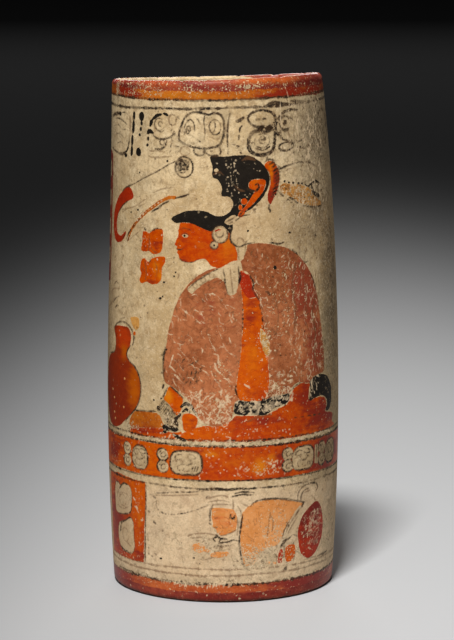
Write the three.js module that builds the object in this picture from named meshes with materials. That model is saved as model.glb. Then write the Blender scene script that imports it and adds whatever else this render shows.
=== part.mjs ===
// A tall painted cylinder vase, hand-built in clay without a wheel. Millimetres, +Z up.
// The origin is the middle of the flat base, which stands on z = 0. -Y is the front.
//
// The potter cuts a flat disc for the floor, stands rings of clay on it one on another, presses
// a thin coil into the inside corner to seal it, and ends the wall with a rounded rim coil.
// The faces where the rings are luted together are flat and level. The painted registers end at them.
import * as THREE from "three";

// Heights
const vaseHeight = 247.8; // mean height, to the top of the lip
const floorThickness = 8;
const rimCoilHeight = 8.3;

// The rings between floor and rim coil, from below, with how the height there is shared out
const courseShares = {
  panel_course: 0.216, // carries the lower painted register
  band_course: 0.0865, // carries the red band of cartouches
  lower_scene_course: 0.1985,
  middle_scene_course: 0.199,
  upper_scene_course: 0.19,
  block_course: 0.11, // carries the row of large rounded blocks
};

// Outside shape: widest at the belly, drawn in towards the foot and more towards the mouth
const bellyRadius = 56.8;
const bellyHeight = 95;
const footDrawIn = 2.8; // how much smaller the radius is there than at the belly
const footCurve = 2.2;
const mouthDrawIn = 5.8;
const mouthCurve = 1.6;
const footEdgeInset = 2; // the floor disc's outer edge is rounded off this far in
const footEdgeHeight = 2.5; // and this far up

// Walls
const wallThickness = 6;
const lipThickness = 4.6; // the wall thins evenly up to the lip
const seamCoilSize = 6;
const clayClearance = 0.3; // between the seam coil and the wall that it is pressed to

// A hand-built vase is a little uneven: it leans to the left, and its rim isn't level
const leanAtMouth = 3;
const leanCurve = 5; // the lean comes in near the top
const rimRiseRight = 1.5;
const rimDropBack = 3.2;
const rimDropFrontAndBack = 0.5;

// Fineness of the faceted solids
const aroundSegments = 72;
const courseStepHeight = 12;
const lipSteps = 6;
const footEdgeSteps = 5;
const seamCoilSteps = 5;

const rimJointHeight = vaseHeight - rimCoilHeight;
const allShares = Object.values(courseShares).reduce((sum, share) => sum + share);

function outerRadius(z) {
  if (z > bellyHeight) {
    const share = (z - bellyHeight) / (vaseHeight - bellyHeight);
    return bellyRadius - mouthDrawIn * share ** mouthCurve;
  }
  const share = (bellyHeight - z) / bellyHeight;
  return bellyRadius - footDrawIn * share ** footCurve;
}

function innerRadius(z) {
  const share = Math.min(1, (z - floorThickness) / (vaseHeight - floorThickness));
  return outerRadius(z) - wallThickness - (lipThickness - wallThickness) * share;
}

// Turns a profile of [radius, height] points, listed up the outside and down the inside,
// and then lets the turned shape lean.
function turned(profile) {
  const points = profile.map(([radius, height]) => new THREE.Vector2(radius, height));
  const geometry = new THREE.LatheGeometry(points, aroundSegments);
  geometry.rotateX(Math.PI / 2);
  const position = geometry.getAttribute("position");
  for (let i = 0; i < position.count; i++) {
    const share = position.getZ(i) / vaseHeight;
    position.setX(i, position.getX(i) - leanAtMouth * share ** leanCurve);
  }
  return geometry;
}

// How far the rim stands above its mean height, at a point round the mouth.
function rimUnevenness(x, y) {
  const radius = Math.hypot(x, y);
  const right = x / radius;
  const back = y / radius;
  return rimRiseRight * right - rimDropBack * back + rimDropFrontAndBack * (right * right - back * back);
}

// The floor disc, with its rounded outer edge under the wall.
function floorDisc() {
  const edgeRadius = outerRadius(footEdgeHeight);
  const profile = [[0, 0]];
  for (let step = 0; step <= footEdgeSteps; step++) {
    const turn = ((step / footEdgeSteps) * Math.PI) / 2;
    profile.push([
      edgeRadius - footEdgeInset * (1 - Math.sin(turn)),
      footEdgeHeight * (1 - Math.cos(turn)),
    ]);
  }
  profile.push([outerRadius(floorThickness), floorThickness]);
  profile.push([0, floorThickness]);
  return turned(profile);
}

// The quarter-round coil that seals the corner between floor and wall.
function seamCoil() {
  const top = floorThickness + seamCoilSize;
  const atFloor = innerRadius(floorThickness) - clayClearance;
  const atTop = innerRadius(top) - clayClearance;
  const profile = [
    [atFloor, floorThickness],
    [atTop, top],
  ];
  for (let step = 1; step <= seamCoilSteps; step++) {
    const turn = ((step / seamCoilSteps) * Math.PI) / 2;
    profile.push([atTop - seamCoilSize * (1 - Math.cos(turn)), top - seamCoilSize * Math.sin(turn)]);
  }
  profile.push(profile[0]);
  return turned(profile);
}

// One ring of the wall, with flat level faces above and below.
function wallCourse(bottom, height) {
  const steps = Math.max(1, Math.round(height / courseStepHeight));
  const levels = Array.from({ length: steps + 1 }, (_, step) => bottom + (height * step) / steps);
  const outside = levels.map((z) => [outerRadius(z), z]);
  const inside = levels.map((z) => [innerRadius(z), z]).reverse();
  return turned([...outside, ...inside, outside[0]]);
}

// The last coil, rounded over into the lip. Above its level joint it takes up the rim's unevenness.
function rimCoil() {
  const outer = outerRadius(vaseHeight);
  const inner = outer - lipThickness;
  const roundRadius = lipThickness / 2;
  const roundCentreHeight = vaseHeight - roundRadius;
  const profile = [[outerRadius(rimJointHeight), rimJointHeight]];
  for (let step = 0; step <= lipSteps; step++) {
    const turn = (step / lipSteps) * Math.PI;
    profile.push([
      (outer + inner) / 2 + roundRadius * Math.cos(turn),
      roundCentreHeight + roundRadius * Math.sin(turn),
    ]);
  }
  profile.push([innerRadius(rimJointHeight), rimJointHeight]);
  profile.push(profile[0]);
  const geometry = turned(profile);
  const position = geometry.getAttribute("position");
  for (let i = 0; i < position.count; i++) {
    const share = Math.max(0, position.getZ(i) - rimJointHeight) / rimCoilHeight;
    const rise = rimUnevenness(position.getX(i), position.getY(i));
    position.setZ(i, position.getZ(i) + share * rise);
  }
  return geometry;
}

// Fired clay under slip: matt, never metallic
function slip(colour, roughness = 0.7) {
  return new THREE.MeshStandardMaterial({ color: colour, roughness, metalness: 0 });
}

const bareClay = slip(0x9c7a58, 0.85);
const creamSlip = slip(0xc4b394);
const orangeSlip = slip(0xb4481c, 0.55);
const darkRedSlip = slip(0x7e2f27, 0.6);

const vase = new THREE.Group();

function addPiece(name, geometry, material) {
  const mesh = new THREE.Mesh(geometry, material);
  mesh.name = name;
  vase.add(mesh);
}

addPiece("floor_disc", floorDisc(), darkRedSlip);
addPiece("seam_coil", seamCoil(), bareClay);

let jointHeight = floorThickness;
for (const [name, share] of Object.entries(courseShares)) {
  const height = (share / allShares) * (rimJointHeight - floorThickness);
  addPiece(name, wallCourse(jointHeight, height), name === "band_course" ? orangeSlip : creamSlip);
  jointHeight += height;
}

addPiece("rim_coil", rimCoil(), orangeSlip);

export default vase;
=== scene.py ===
import math

import bpy
import numpy as np
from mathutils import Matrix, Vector


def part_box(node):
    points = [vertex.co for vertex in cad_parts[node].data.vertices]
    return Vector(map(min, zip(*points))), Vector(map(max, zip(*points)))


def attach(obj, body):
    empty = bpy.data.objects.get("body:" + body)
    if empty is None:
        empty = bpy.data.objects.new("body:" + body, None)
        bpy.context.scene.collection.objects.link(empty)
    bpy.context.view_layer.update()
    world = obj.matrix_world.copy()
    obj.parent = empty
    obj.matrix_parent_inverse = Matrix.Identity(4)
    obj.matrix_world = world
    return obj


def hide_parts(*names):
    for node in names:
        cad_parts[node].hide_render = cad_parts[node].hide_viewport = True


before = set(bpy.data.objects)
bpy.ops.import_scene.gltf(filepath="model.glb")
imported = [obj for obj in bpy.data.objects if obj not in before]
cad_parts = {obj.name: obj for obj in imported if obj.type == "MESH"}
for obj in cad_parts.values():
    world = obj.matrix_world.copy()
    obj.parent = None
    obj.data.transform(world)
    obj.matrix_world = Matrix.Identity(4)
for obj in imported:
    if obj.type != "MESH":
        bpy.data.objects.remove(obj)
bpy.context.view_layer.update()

scene = bpy.context.scene
scene.view_settings.view_transform = "Standard"
print("frame loaded")

# the camera solved from the photograph: lens and sensor in millimetres, places in metres, tilt in degrees
cameraLook = {
    "lens": 175.35, "sensor": 36, "side": 0.0019, "distance": 1.5074, "height": 0.3725, "down": 9.193, "farEnd": 50,
}

cameraData = bpy.data.cameras.new("photoCamera")
cameraData.lens = cameraLook["lens"]
cameraData.sensor_width = cameraLook["sensor"]
cameraData.clip_end = cameraLook["farEnd"]
camera = bpy.data.objects.new("photoCamera", cameraData)
camera.location = (cameraLook["side"], -cameraLook["distance"], cameraLook["height"])
camera.rotation_euler = (math.radians(90 - cameraLook["down"]), 0, 0)
scene.collection.objects.link(camera)
scene.camera = camera


def addNode(tree, kind, values=None, **settings):
    node = tree.nodes.new(kind)
    for name, value in settings.items():
        setattr(node, name, value)
    for socket, value in (values or {}).items():
        if isinstance(value, bpy.types.NodeSocket):
            tree.links.new(value, node.inputs[socket])
        else:
            node.inputs[socket].default_value = value
    return node


def calc(tree, operation, *values, clamp=False):
    return addNode(tree, "ShaderNodeMath", dict(enumerate(values)), operation=operation, use_clamp=clamp).outputs[0]


def softBox(name, place, size, power):
    light = bpy.data.lights.new(name, "AREA")
    light.shape = "RECTANGLE"
    light.size, light.size_y = size
    light.energy = power
    box = bpy.data.objects.new(name, light)
    box.location = place
    box.rotation_euler = (Vector(studio["aim"]) - Vector(place)).to_track_quat("-Z", "Y").to_euler()
    scene.collection.objects.link(box)


# one high soft box, a little left of the camera, and a weaker one behind for the far side
studio = {
    "aim": (0, 0, 0.12), "world": 0.05,
    "keyPlace": (-0.37, -1.76, 3.24), "keySize": (0.64, 0.64), "keyPower": 215,
    "backPlace": (0, 3.6, 1.6), "backSize": (1.4, 1.4), "backPower": 48,
}
softBox("keyBox", studio["keyPlace"], studio["keySize"], studio["keyPower"])
softBox("backBox", studio["backPlace"], studio["backSize"], studio["backPower"])

world = bpy.data.worlds.new("studioAir")
world.use_nodes = True
scene.world = world
air = world.node_tree.nodes["Background"].inputs
air["Color"].default_value = (1, 1, 1, 1)
air["Strength"].default_value = studio["world"]

# painted pool of light: the paper sweep's colour is pale round the vase and darkens to the back and the sides
floorLook = {
    "reach": 6, "level": -0.0002, "rough": 1.0, "specular": 0.0,
    "middle": 0.096, "near": -0.34, "halfWide": 0.287, "halfDeep": 1.363, "falloff": 3.32, "pale": 0.397, "dark": 0.011,
}
floorData = bpy.data.meshes.new("studioFloor")
floorCorners = [(x * floorLook["reach"], y * floorLook["reach"], floorLook["level"])
                for x, y in ((-1, -1), (1, -1), (1, 1), (-1, 1))]
floorData.from_pydata(floorCorners, [], [(0, 1, 2, 3)])
floor = bpy.data.objects.new("studioFloor", floorData)
scene.collection.objects.link(floor)
paper = bpy.data.materials.new("floorPaper")
paper.use_nodes = True
paperTree = paper.node_tree
paperShader = paperTree.nodes["Principled BSDF"].inputs
paperShader["Roughness"].default_value = floorLook["rough"]
paperShader["Specular IOR Level"].default_value = floorLook["specular"]


def paperStep(operation, first, second=None):
    values = {0: first} if second is None else {0: first, 1: second}
    return addNode(paperTree, "ShaderNodeVectorMath", values, operation=operation).outputs


away = paperTree.nodes.new("ShaderNodeTexCoord").outputs["Object"]
away = paperStep("ADD", away, (-floorLook["middle"], -floorLook["near"], 0))[0]
away = paperStep("MULTIPLY", away, (1 / floorLook["halfWide"], 1 / floorLook["halfDeep"], 0))[0]
away = calc(paperTree, "POWER", paperStep("LENGTH", away)["Value"], floorLook["falloff"])
# the painted pool of light falls away with distance from the vase
paintedLightPool = calc(paperTree, "EXPONENT", calc(paperTree, "MULTIPLY", away, -1.0))
paperTone = calc(paperTree, "MULTIPLY_ADD", paintedLightPool, floorLook["pale"], floorLook["dark"])
paperTree.links.new(paperTone, paperShader["Base Color"])
floorData.materials.append(paper)
print("camera, lights and floor placed")

# millimetres, the same shape as the frame's solids; the painting is measured from the slightly straighter leanSeen
wallShape = {
    "bellyRadius": 56.8, "bellyHeight": 95, "footDrawIn": 2.8, "footCurve": 2.2, "mouthDrawIn": 5.8, "mouthCurve": 1.6,
    "wall": 6, "lip": 4.6, "mouth": 247.8, "floor": 8, "leanSeen": 2.6,
}
# how the rings are divided (millimetres), and the hand's unevenness (metres)
clayLook = {
    "columns": 800, "rowStep": 0.45, "insideStep": 5, "coilColumns": 520,
    "lean": 0.003, "leanCurve": 5.0, "waviness": 0.0003, "riseRight": 0.0015, "dropBack": 0.00319, "dropBoth": 0.0005,
    "lipChips": 0.0011,
    "noiseRadius": 0.056, "waveScale": 26.0, "stillAxis": 33.0,
    "chipScale": 150.0, "chipFrom": 0.56, "chipGain": 5.0, "chipCurve": 6.0, "chipDetail": 3.0,
    "weld": 0.00001, "sharpAngle": 0.9,
}
# each point of a profile carries its finish: painted outside, joint face, or wiped inside
painted, joint, wiped = 0, 0.5, 1


def outerRadius(z):
    up = max(0, z - wallShape["bellyHeight"]) / (wallShape["mouth"] - wallShape["bellyHeight"])
    down = max(0, wallShape["bellyHeight"] - z) / wallShape["bellyHeight"]
    return (wallShape["bellyRadius"] - wallShape["mouthDrawIn"] * up ** wallShape["mouthCurve"]
            - wallShape["footDrawIn"] * down ** wallShape["footCurve"])


def innerRadius(z):
    share = min(1, (z - wallShape["floor"]) / (wallShape["mouth"] - wallShape["floor"]))
    return outerRadius(z) - wallShape["wall"] - (wallShape["lip"] - wallShape["wall"]) * share


def steps(start, end, size):
    return np.linspace(start, end, max(2, int(math.ceil(abs(end - start) / size)) + 1))


def buildClayTree():
    # turns a profile round the vase's axis, then leans, scrapes, presses and nicks it by hand
    tree = bpy.data.node_groups.new("clayRing", "GeometryNodeTree")
    face = tree.interface
    face.new_socket("Profile", in_out="INPUT", socket_type="NodeSocketGeometry")
    face.new_socket("Columns", in_out="INPUT", socket_type="NodeSocketInt")
    for name in ("Mouth Height", "Rim Joint", "Lean", "Waviness", "Rise Right", "Drop Back", "Drop Both", "Lip Chips",
                 "Press Marks", "Press Depth"):
        face.new_socket(name, in_out="INPUT", socket_type="NodeSocketFloat")
    for name in ("Painted", "Inside", "Joint"):
        face.new_socket(name, in_out="INPUT", socket_type="NodeSocketMaterial")
    face.new_socket("Ring", in_out="OUTPUT", socket_type="NodeSocketGeometry")
    given = tree.nodes.new("NodeGroupInput").outputs

    def op(operation, *values):
        return calc(tree, operation, *values)

    def apart(vector):
        return addNode(tree, "ShaderNodeSeparateXYZ", {0: vector}).outputs

    def together(x, y, z):
        return addNode(tree, "ShaderNodeCombineXYZ", {0: x, 1: y, 2: z}).outputs[0]

    def position():
        return addNode(tree, "GeometryNodeInputPosition").outputs[0]

    def finishMark():
        return addNode(tree, "GeometryNodeInputNamedAttribute", {"Name": "finish"}, data_type="FLOAT").outputs[0]

    def shape(kind, geometry, values=None, **settings):
        return addNode(tree, "GeometryNode" + kind, {"Geometry": geometry, **(values or {})}, **settings).outputs[0]

    # a flat grid, with a column for each turn and a row for each point of the profile
    profileCount = addNode(tree, "GeometryNodeAttributeDomainSize",
                           {"Geometry": given["Profile"]}).outputs["Point Count"]
    grid = addNode(tree, "GeometryNodeMeshGrid", {
        "Size X": 1.0, "Size Y": 1.0, "Vertices X": op("ADD", given["Columns"], 1), "Vertices Y": profileCount,
    }).outputs["Mesh"]
    flat = apart(position())
    angle = op("MULTIPLY_ADD", op("ADD", flat["X"], 0.5), 2 * math.pi, math.pi / 2)
    row = op("ROUND", op("MULTIPLY", op("ADD", flat["Y"], 0.5), op("SUBTRACT", profileCount, 1)))

    def fromProfile(value, kind):
        return addNode(tree, "GeometryNodeSampleIndex", {"Geometry": given["Profile"], "Value": value, "Index": row},
                       data_type=kind, domain="POINT").outputs["Value"]

    place = apart(fromProfile(position(), "FLOAT_VECTOR"))
    finish = fromProfile(finishMark(), "FLOAT")
    cosine, sine, height = op("COSINE", angle), op("SINE", angle), place["Z"]

    # slow unevenness of a wall scraped by hand, only ever inwards
    around = together(op("MULTIPLY", cosine, clayLook["noiseRadius"]), op("MULTIPLY", sine, clayLook["noiseRadius"]),
                      height)
    unevenness = addNode(tree, "ShaderNodeTexNoise", {
        "Vector": around, "Scale": clayLook["waveScale"], "Detail": 2.0}).outputs[0]
    inward = op("MULTIPLY", op("MULTIPLY", given["Waviness"], unevenness),
                op("MINIMUM", op("MULTIPLY", place["X"], clayLook["stillAxis"]), 1.0))
    # finger marks on the coil's open side
    halfJoint = (joint + wiped) / 2
    press = op("MULTIPLY", op("MULTIPLY", given["Press Depth"], op("GREATER_THAN", finish, halfJoint)),
               op("MULTIPLY_ADD", op("SINE", op("MULTIPLY", angle, given["Press Marks"])), 0.5, 0.5))
    radius = op("ADD", op("SUBTRACT", place["X"], inward), press)
    upShare = op("DIVIDE", height, given["Mouth Height"])
    leaned = op("MULTIPLY", given["Lean"], op("POWER", upShare, clayLook["leanCurve"]))
    x = op("SUBTRACT", op("MULTIPLY", radius, cosine), leaned)
    y = op("MULTIPLY", radius, sine)

    # the rim rises to the right and front, and its lip is nicked
    fromAxis = op("MAXIMUM", op("SQRT", op("ADD", op("MULTIPLY", x, x), op("MULTIPLY", y, y))), 0.0001)
    right, back = op("DIVIDE", x, fromAxis), op("DIVIDE", y, fromAxis)
    rimShare = op("DIVIDE", op("MAXIMUM", op("SUBTRACT", height, given["Rim Joint"]), 0.0),
                  op("SUBTRACT", given["Mouth Height"], given["Rim Joint"]))
    rise = op("SUBTRACT", op("MULTIPLY", given["Rise Right"], right), op("MULTIPLY", given["Drop Back"], back))
    bothSides = op("SUBTRACT", op("MULTIPLY", right, right), op("MULTIPLY", back, back))
    rise = op("ADD", rise, op("MULTIPLY", given["Drop Both"], bothSides))
    chips = addNode(tree, "ShaderNodeTexNoise", {
        "Vector": around, "Scale": clayLook["chipScale"], "Detail": clayLook["chipDetail"]}).outputs[0]
    chips = op("MULTIPLY", op("MAXIMUM", op("SUBTRACT", chips, clayLook["chipFrom"]), 0.0), clayLook["chipGain"])
    chips = op("MULTIPLY", chips, op("POWER", rimShare, clayLook["chipCurve"]))
    rise = op("SUBTRACT", rise, op("MULTIPLY", chips, given["Lip Chips"]))
    z = op("ADD", height, op("MULTIPLY", rimShare, rise))

    ring = shape("StoreNamedAttribute", grid, {"Name": "finish", "Value": finish}, data_type="FLOAT", domain="POINT")
    ring = shape("SetPosition", ring, {"Position": together(x, y, z)})
    ring = shape("MergeByDistance", ring, {"Distance": clayLook["weld"]})
    ring = shape("SetShadeSmooth", ring, domain="FACE")
    edgeAngle = addNode(tree, "GeometryNodeInputMeshEdgeAngle").outputs["Unsigned Angle"]
    corner = op("GREATER_THAN", edgeAngle, clayLook["sharpAngle"])
    ring = shape("SetShadeSmooth", ring, {"Selection": corner, "Shade Smooth": False}, domain="EDGE")
    ring = shape("RealizeInstances", ring)
    kept = finishMark()
    ring = shape("SetMaterial", ring, {"Material": given["Joint"]})
    ring = shape("SetMaterial", ring, {
        "Material": given["Painted"], "Selection": op("LESS_THAN", kept, (painted + joint) / 2)})
    ring = shape("SetMaterial", ring, {"Material": given["Inside"], "Selection": op("GREATER_THAN", kept, halfJoint)})
    tree.links.new(ring, tree.nodes.new("NodeGroupOutput").inputs["Ring"])
    return tree


clayTree = buildClayTree()
paintedSlip = bpy.data.materials.new("paintedSlip")
insideClay = bpy.data.materials.new("insideClay")
jointClay = bpy.data.materials.new("jointClay")


def turnClay(name, profile, **sizes):
    # profile: radius, height and finish of each point, up the outside and down the inside
    points = bpy.data.meshes.new(name + "Profile")
    corners = [(r / 1000, 0, z / 1000) for r, z, _ in profile]
    points.from_pydata(corners, [(i, i + 1) for i in range(len(profile) - 1)], [])
    points.attributes.new("finish", "FLOAT", "POINT").data.foreach_set("value", [finish for _, _, finish in profile])
    made = bpy.data.objects.new(name, points)
    scene.collection.objects.link(made)
    turning = made.modifiers.new("clayRing", "NODES")
    turning.node_group = clayTree
    sockets = {item.name: item.identifier for item in clayTree.interface.items_tree if item.in_out == "INPUT"}
    inputs = {
        "Columns": clayLook["columns"], "Mouth Height": wallShape["mouth"] / 1000, "Rim Joint": rimJoint / 1000,
        "Lean": clayLook["lean"], "Waviness": clayLook["waviness"], "Rise Right": clayLook["riseRight"],
        "Drop Back": clayLook["dropBack"], "Drop Both": clayLook["dropBoth"], "Lip Chips": clayLook["lipChips"],
        "Painted": paintedSlip, "Inside": insideClay, "Joint": jointClay, **sizes,
    }
    for socket, value in inputs.items():
        turning[sockets[socket]] = value
    graph = bpy.context.evaluated_depsgraph_get()
    plain = bpy.data.meshes.new_from_object(made.evaluated_get(graph), preserve_all_data_layers=True, depsgraph=graph)
    made.modifiers.remove(turning)
    made.data = plain
    plain.name = name
    return made


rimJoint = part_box("rim_coil")[0].z * 1000
courseNodes = (
    "panel_course", "band_course", "lower_scene_course", "middle_scene_course", "upper_scene_course", "block_course",
)
pieces = {}

for node in courseNodes:
    low, high = (corner.z * 1000 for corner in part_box(node))
    outside = [(outerRadius(z), z, painted) for z in steps(low, high, clayLook["rowStep"])]
    inside = [(innerRadius(z), z, wiped) for z in steps(high, low, clayLook["insideStep"])]
    words = node.split("_")
    name = words[0] + "".join(word.title() for word in words[1:])
    pieces[node] = turnClay(name, outside + inside + outside[:1])

# floor disc: worn underside, rounded foot edge, and the floor seen through the mouth
footLook = {"inset": 2, "height": 2.5, "underRings": (0, 12, 24, 34, 42, 47),
            "floorRings": (48.5, 42, 34, 26, 18, 10, 0)}
edgeRadius = outerRadius(footLook["height"])
disc = [(r, 0, joint) for r in footLook["underRings"]]
for turn in np.linspace(0, math.pi / 2, 22):
    r = edgeRadius - footLook["inset"] * (1 - math.sin(turn))
    disc.append((r, footLook["height"] * (1 - math.cos(turn)), painted))
wallRows = steps(footLook["height"], wallShape["floor"], clayLook["rowStep"])
disc += [(outerRadius(z), z, painted) for z in wallRows[1:]]
disc += [(r, wallShape["floor"], wiped) for r in footLook["floorRings"]]
pieces["floor_disc"] = turnClay("floorDisc", disc)

# the coil pressed into the inside corner
coilLook = {"size": 6, "clearance": 0.3, "marks": 26.0, "depth": 0.0009}
coilTop = wallShape["floor"] + coilLook["size"]
atFloor, atTop = (innerRadius(z) - coilLook["clearance"] for z in (wallShape["floor"], coilTop))
coil = [(atFloor, wallShape["floor"], joint), (atTop, coilTop, joint)]
for turn in np.linspace(0, math.pi / 2, 12)[1:]:
    coil.append((atTop - coilLook["size"] * (1 - math.cos(turn)), coilTop - coilLook["size"] * math.sin(turn), wiped))
pieces["seam_coil"] = turnClay("seamCoil", coil + coil[:1], **{
    "Columns": clayLook["coilColumns"], "Waviness": 0.0, "Press Marks": coilLook["marks"],
    "Press Depth": coilLook["depth"],
})

# rim coil, rounded over into the lip
lipOuter = outerRadius(wallShape["mouth"])
lipInner = lipOuter - wallShape["lip"]
lipRound = wallShape["lip"] / 2
lipMiddle = lipOuter - lipRound
lipFrom = wallShape["mouth"] - lipRound
rimOuter, rimInner = outerRadius(rimJoint), innerRadius(rimJoint)
rim = [(rimOuter + (lipOuter - rimOuter) * share, rimJoint + (lipFrom - rimJoint) * share, painted)
       for share in np.linspace(0, 1, 16)]
for turn in np.linspace(0, math.pi, 17)[1:]:
    rim.append((lipMiddle + lipRound * math.cos(turn), lipFrom + lipRound * math.sin(turn), painted))
rim += [(lipInner + (rimInner - lipInner) * share, lipFrom + (rimJoint - lipFrom) * share,
         painted if share < 1 else wiped)
        for share in np.linspace(0, 1, 9)[1:]]
pieces["rim_coil"] = turnClay("rimCoil", rim + rim[:1])
print("clay rings turned:", {name: len(piece.data.polygons) for name, piece in pieces.items()})

# The painting: every fill is kept on the wall's points as a signed distance to its edge in mm (minus is inside),
# every brush line as the distance to its edge. s runs round the wall from the front, to the right, and z up it.
belly = wallShape["bellyRadius"]
girth = 2 * math.pi * belly
farOff = 8.0
bandLap = 0.6
fills = ("orange", "amber", "red", "wine", "maroon", "rose", "salmon", "ochre", "black", "russet", "pale")
lines = ("ink", "wash", "scrape")
spots = []
for piece in pieces.values():
    flat = np.empty(len(piece.data.vertices) * 3, np.float32)
    piece.data.vertices.foreach_get("co", flat)
    spots.append(flat.reshape(-1, 3) * 1000.0)
counts = [len(part) for part in spots]
spots = np.vstack(spots).astype(np.float64)
wallZ = spots[:, 2]
straightX = spots[:, 0] + wallShape["leanSeen"] * (wallZ / wallShape["mouth"]) ** 2
wallS = np.arctan2(straightX, -spots[:, 1]) * belly
wallTurn = wallS / belly
paint = {name: np.full(len(wallS), farOff) for name in fills + lines}
order = np.argsort(wallZ)
sortedZ = wallZ[order]
hand = np.random.default_rng(11)
# where a drawing is set on the wall: moved round it, mirrored, moved up it
place = {"shift": 0.0, "flip": 1, "lift": 0.0}
sagLook = {"depth": 5.0, "start": 0.15, "curve": 1.3, "above": 230}


def rimSag(turn):
    # the rim is lower at the back, and the upper registers follow it down
    share = (sagLook["start"] - np.cos(turn)) / (1 + sagLook["start"])
    return sagLook["depth"] * np.clip(share, 0, 1) ** sagLook["curve"]


def wallLine(z, slope):
    # a level line round the wall, tilted a little by its slope
    return z + slope * belly * np.sin(wallTurn) - (rimSag(wallTurn) if z > sagLook["above"] else 0)


def curve(points, closed=False, sharp=False, size=0.7):
    # a smooth path through the points, cut into short steps and set in its place
    points = np.array(points, float)[:, :2]
    if closed:
        points = np.vstack([points[-1:], points, points[:2]])
    else:
        points = np.vstack([2 * points[:1] - points[1:2], points, 2 * points[-1:] - points[-2:-1]])
    path = []
    for a, b, c, d in zip(points, points[1:], points[2:], points[3:]):
        count = max(1, int(math.ceil(np.hypot(*(c - b)) / size)))
        for t in np.arange(count) / count:
            if sharp:
                path.append(b + (c - b) * t)
            else:
                bend = (2 * a - 5 * b + 4 * c - d) * t * t + (3 * b - a - 3 * c + d) * t ** 3
                path.append(0.5 * (2 * b + (c - a) * t + bend))
    path.append(points[-2])
    path = np.array(path)
    return np.column_stack([place["shift"] + place["flip"] * path[:, 0], place["lift"] + path[:, 1]])


def nearby(path, margin):
    # the wall's points round a path, and their s counted from where the path is
    low, high = path.min(0) - margin, path.max(0) + margin
    start, end = np.searchsorted(sortedZ, (low[1], high[1]))
    chosen = order[start:end]
    middle = (low[0] + high[0]) / 2
    along = (wallS[chosen] - middle + girth / 2) % girth - girth / 2 + middle
    held = (along > low[0]) & (along < high[0])
    return chosen[held], along[held], wallZ[chosen[held]]


def gapTo(path, along, up, halfWidths=None):
    best = np.full(len(along), np.inf)
    for i in range(len(path) - 1):
        step = path[i + 1] - path[i]
        s, z = along - path[i][0], up - path[i][1]
        t = np.clip((s * step[0] + z * step[1]) / max(step @ step, 1e-9), 0, 1)
        gap = np.hypot(s - t * step[0], z - t * step[1])
        if halfWidths is not None:
            gap = gap - halfWidths[i] - t * (halfWidths[i + 1] - halfWidths[i])
        best = np.minimum(best, gap)
    return best


def lay(name, chosen, signed, lap=0.0):
    # a fill covers whatever lies under it, which may reach a little way in under its edge
    for other in fills + lines:
        if other == name:
            paint[other][chosen] = np.minimum(paint[other][chosen], signed)
        else:
            paint[other][chosen] = np.maximum(paint[other][chosen], -signed - lap)


def fill(name, points, sharp=False, margin=5):
    edge = curve(points, closed=True, sharp=sharp)
    chosen, along, up = nearby(edge, margin)
    crossings = np.zeros(len(along), bool)
    for (s0, z0), (s1, z1) in zip(edge, edge[1:]):
        between = (z0 > up) != (z1 > up)
        crossings[between] ^= along[between] < (s1 - s0) * (up[between] - z0) / (z1 - z0) + s0
    gap = gapTo(edge, along, up)
    lay(name, chosen, np.where(crossings, -gap, gap))


def arc(s, z, wide, tall, tilt, turn):
    a, b = wide * np.cos(turn), tall * np.sin(turn)
    cosine, sine = math.cos(math.radians(tilt)), math.sin(math.radians(tilt))
    return np.column_stack([s + a * cosine - b * sine, z + a * sine + b * cosine])


def oval(name, s, z, wide, tall, tilt=0):
    fill(name, arc(s, z, wide, tall, tilt, np.linspace(0, 2 * math.pi, 17)[:-1]))


def loop(s, z, wide, tall, tilt=0, start=0, end=360):
    return arc(s, z, wide, tall, tilt, np.radians(np.linspace(start, end, 13)))


def brush(name, points, width, ends=0.45, closed=False):
    # a brush line, thinner at its ends and pressed unevenly
    path = curve(points, closed)
    t = np.linspace(0, 1, len(path))
    press = 1 if closed else ends + (1 - ends) * np.sin(math.pi * np.clip(t, 0.02, 0.98)) ** 0.5
    sway = np.interp(t, np.linspace(0, 1, 6), hand.uniform(0.82, 1.18, 6))
    half = width / 2 * press * sway
    chosen, along, up = nearby(path, width + 3)
    paint[name][chosen] = np.minimum(paint[name][chosen], gapTo(path, along, up, half))


def dashes(name, points, width, dash, gap):
    # a brush line broken by a dry brush
    path = curve(points, size=0.4)
    # back to the drawing's own s and z
    path[:, 0] = (path[:, 0] - place["shift"]) * place["flip"]
    path[:, 1] -= place["lift"]
    run = np.concatenate([[0], np.cumsum(np.hypot(*np.diff(path, axis=0).T))])
    at = 0.0
    while at < run[-1]:
        length = dash * hand.uniform(0.6, 1.4)
        part = path[(run >= at) & (run <= at + length)]
        if len(part) > 4:
            part = part[::len(part) // 4]
        if len(part) > 1:
            brush(name, part, width * hand.uniform(0.75, 1.2))
        at += length + gap * hand.uniform(0.5, 1.5)


def wobbling(waves, counts):
    # a hand's unsteadiness round the wall: three slow waves, the shorter the weaker
    return sum(share * np.sin(count * wallTurn + wave) for count, wave, share in zip(counts, waves, (0.5, 0.3, 0.2)))


def level(name, low, high, wobble=0.35, slope=0.0):
    # a band all the way round, its edges wandering as the vase was turned by hand
    waves = hand.uniform(0, 2 * math.pi, 8)
    bottom = wallLine(low, slope) + wobble * wobbling(waves[:3], (3, 7, 17))
    top = wallLine(high, slope) + wobble * wobbling(waves[4:7], (3, 7, 17))
    lay(name, np.arange(len(wallS)), np.maximum(bottom - wallZ, wallZ - top), bandLap)


def strokes(name, width, *paths):
    for path in paths:
        brush(name, path, width)


def rings(name, width, *places):
    for s, z, wide, tall in places:
        brush(name, loop(s, z, wide, tall), width, closed=True)


def dots(*places):
    for s, z, wide, tall in places:
        oval("black", s, z, wide, tall)


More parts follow.
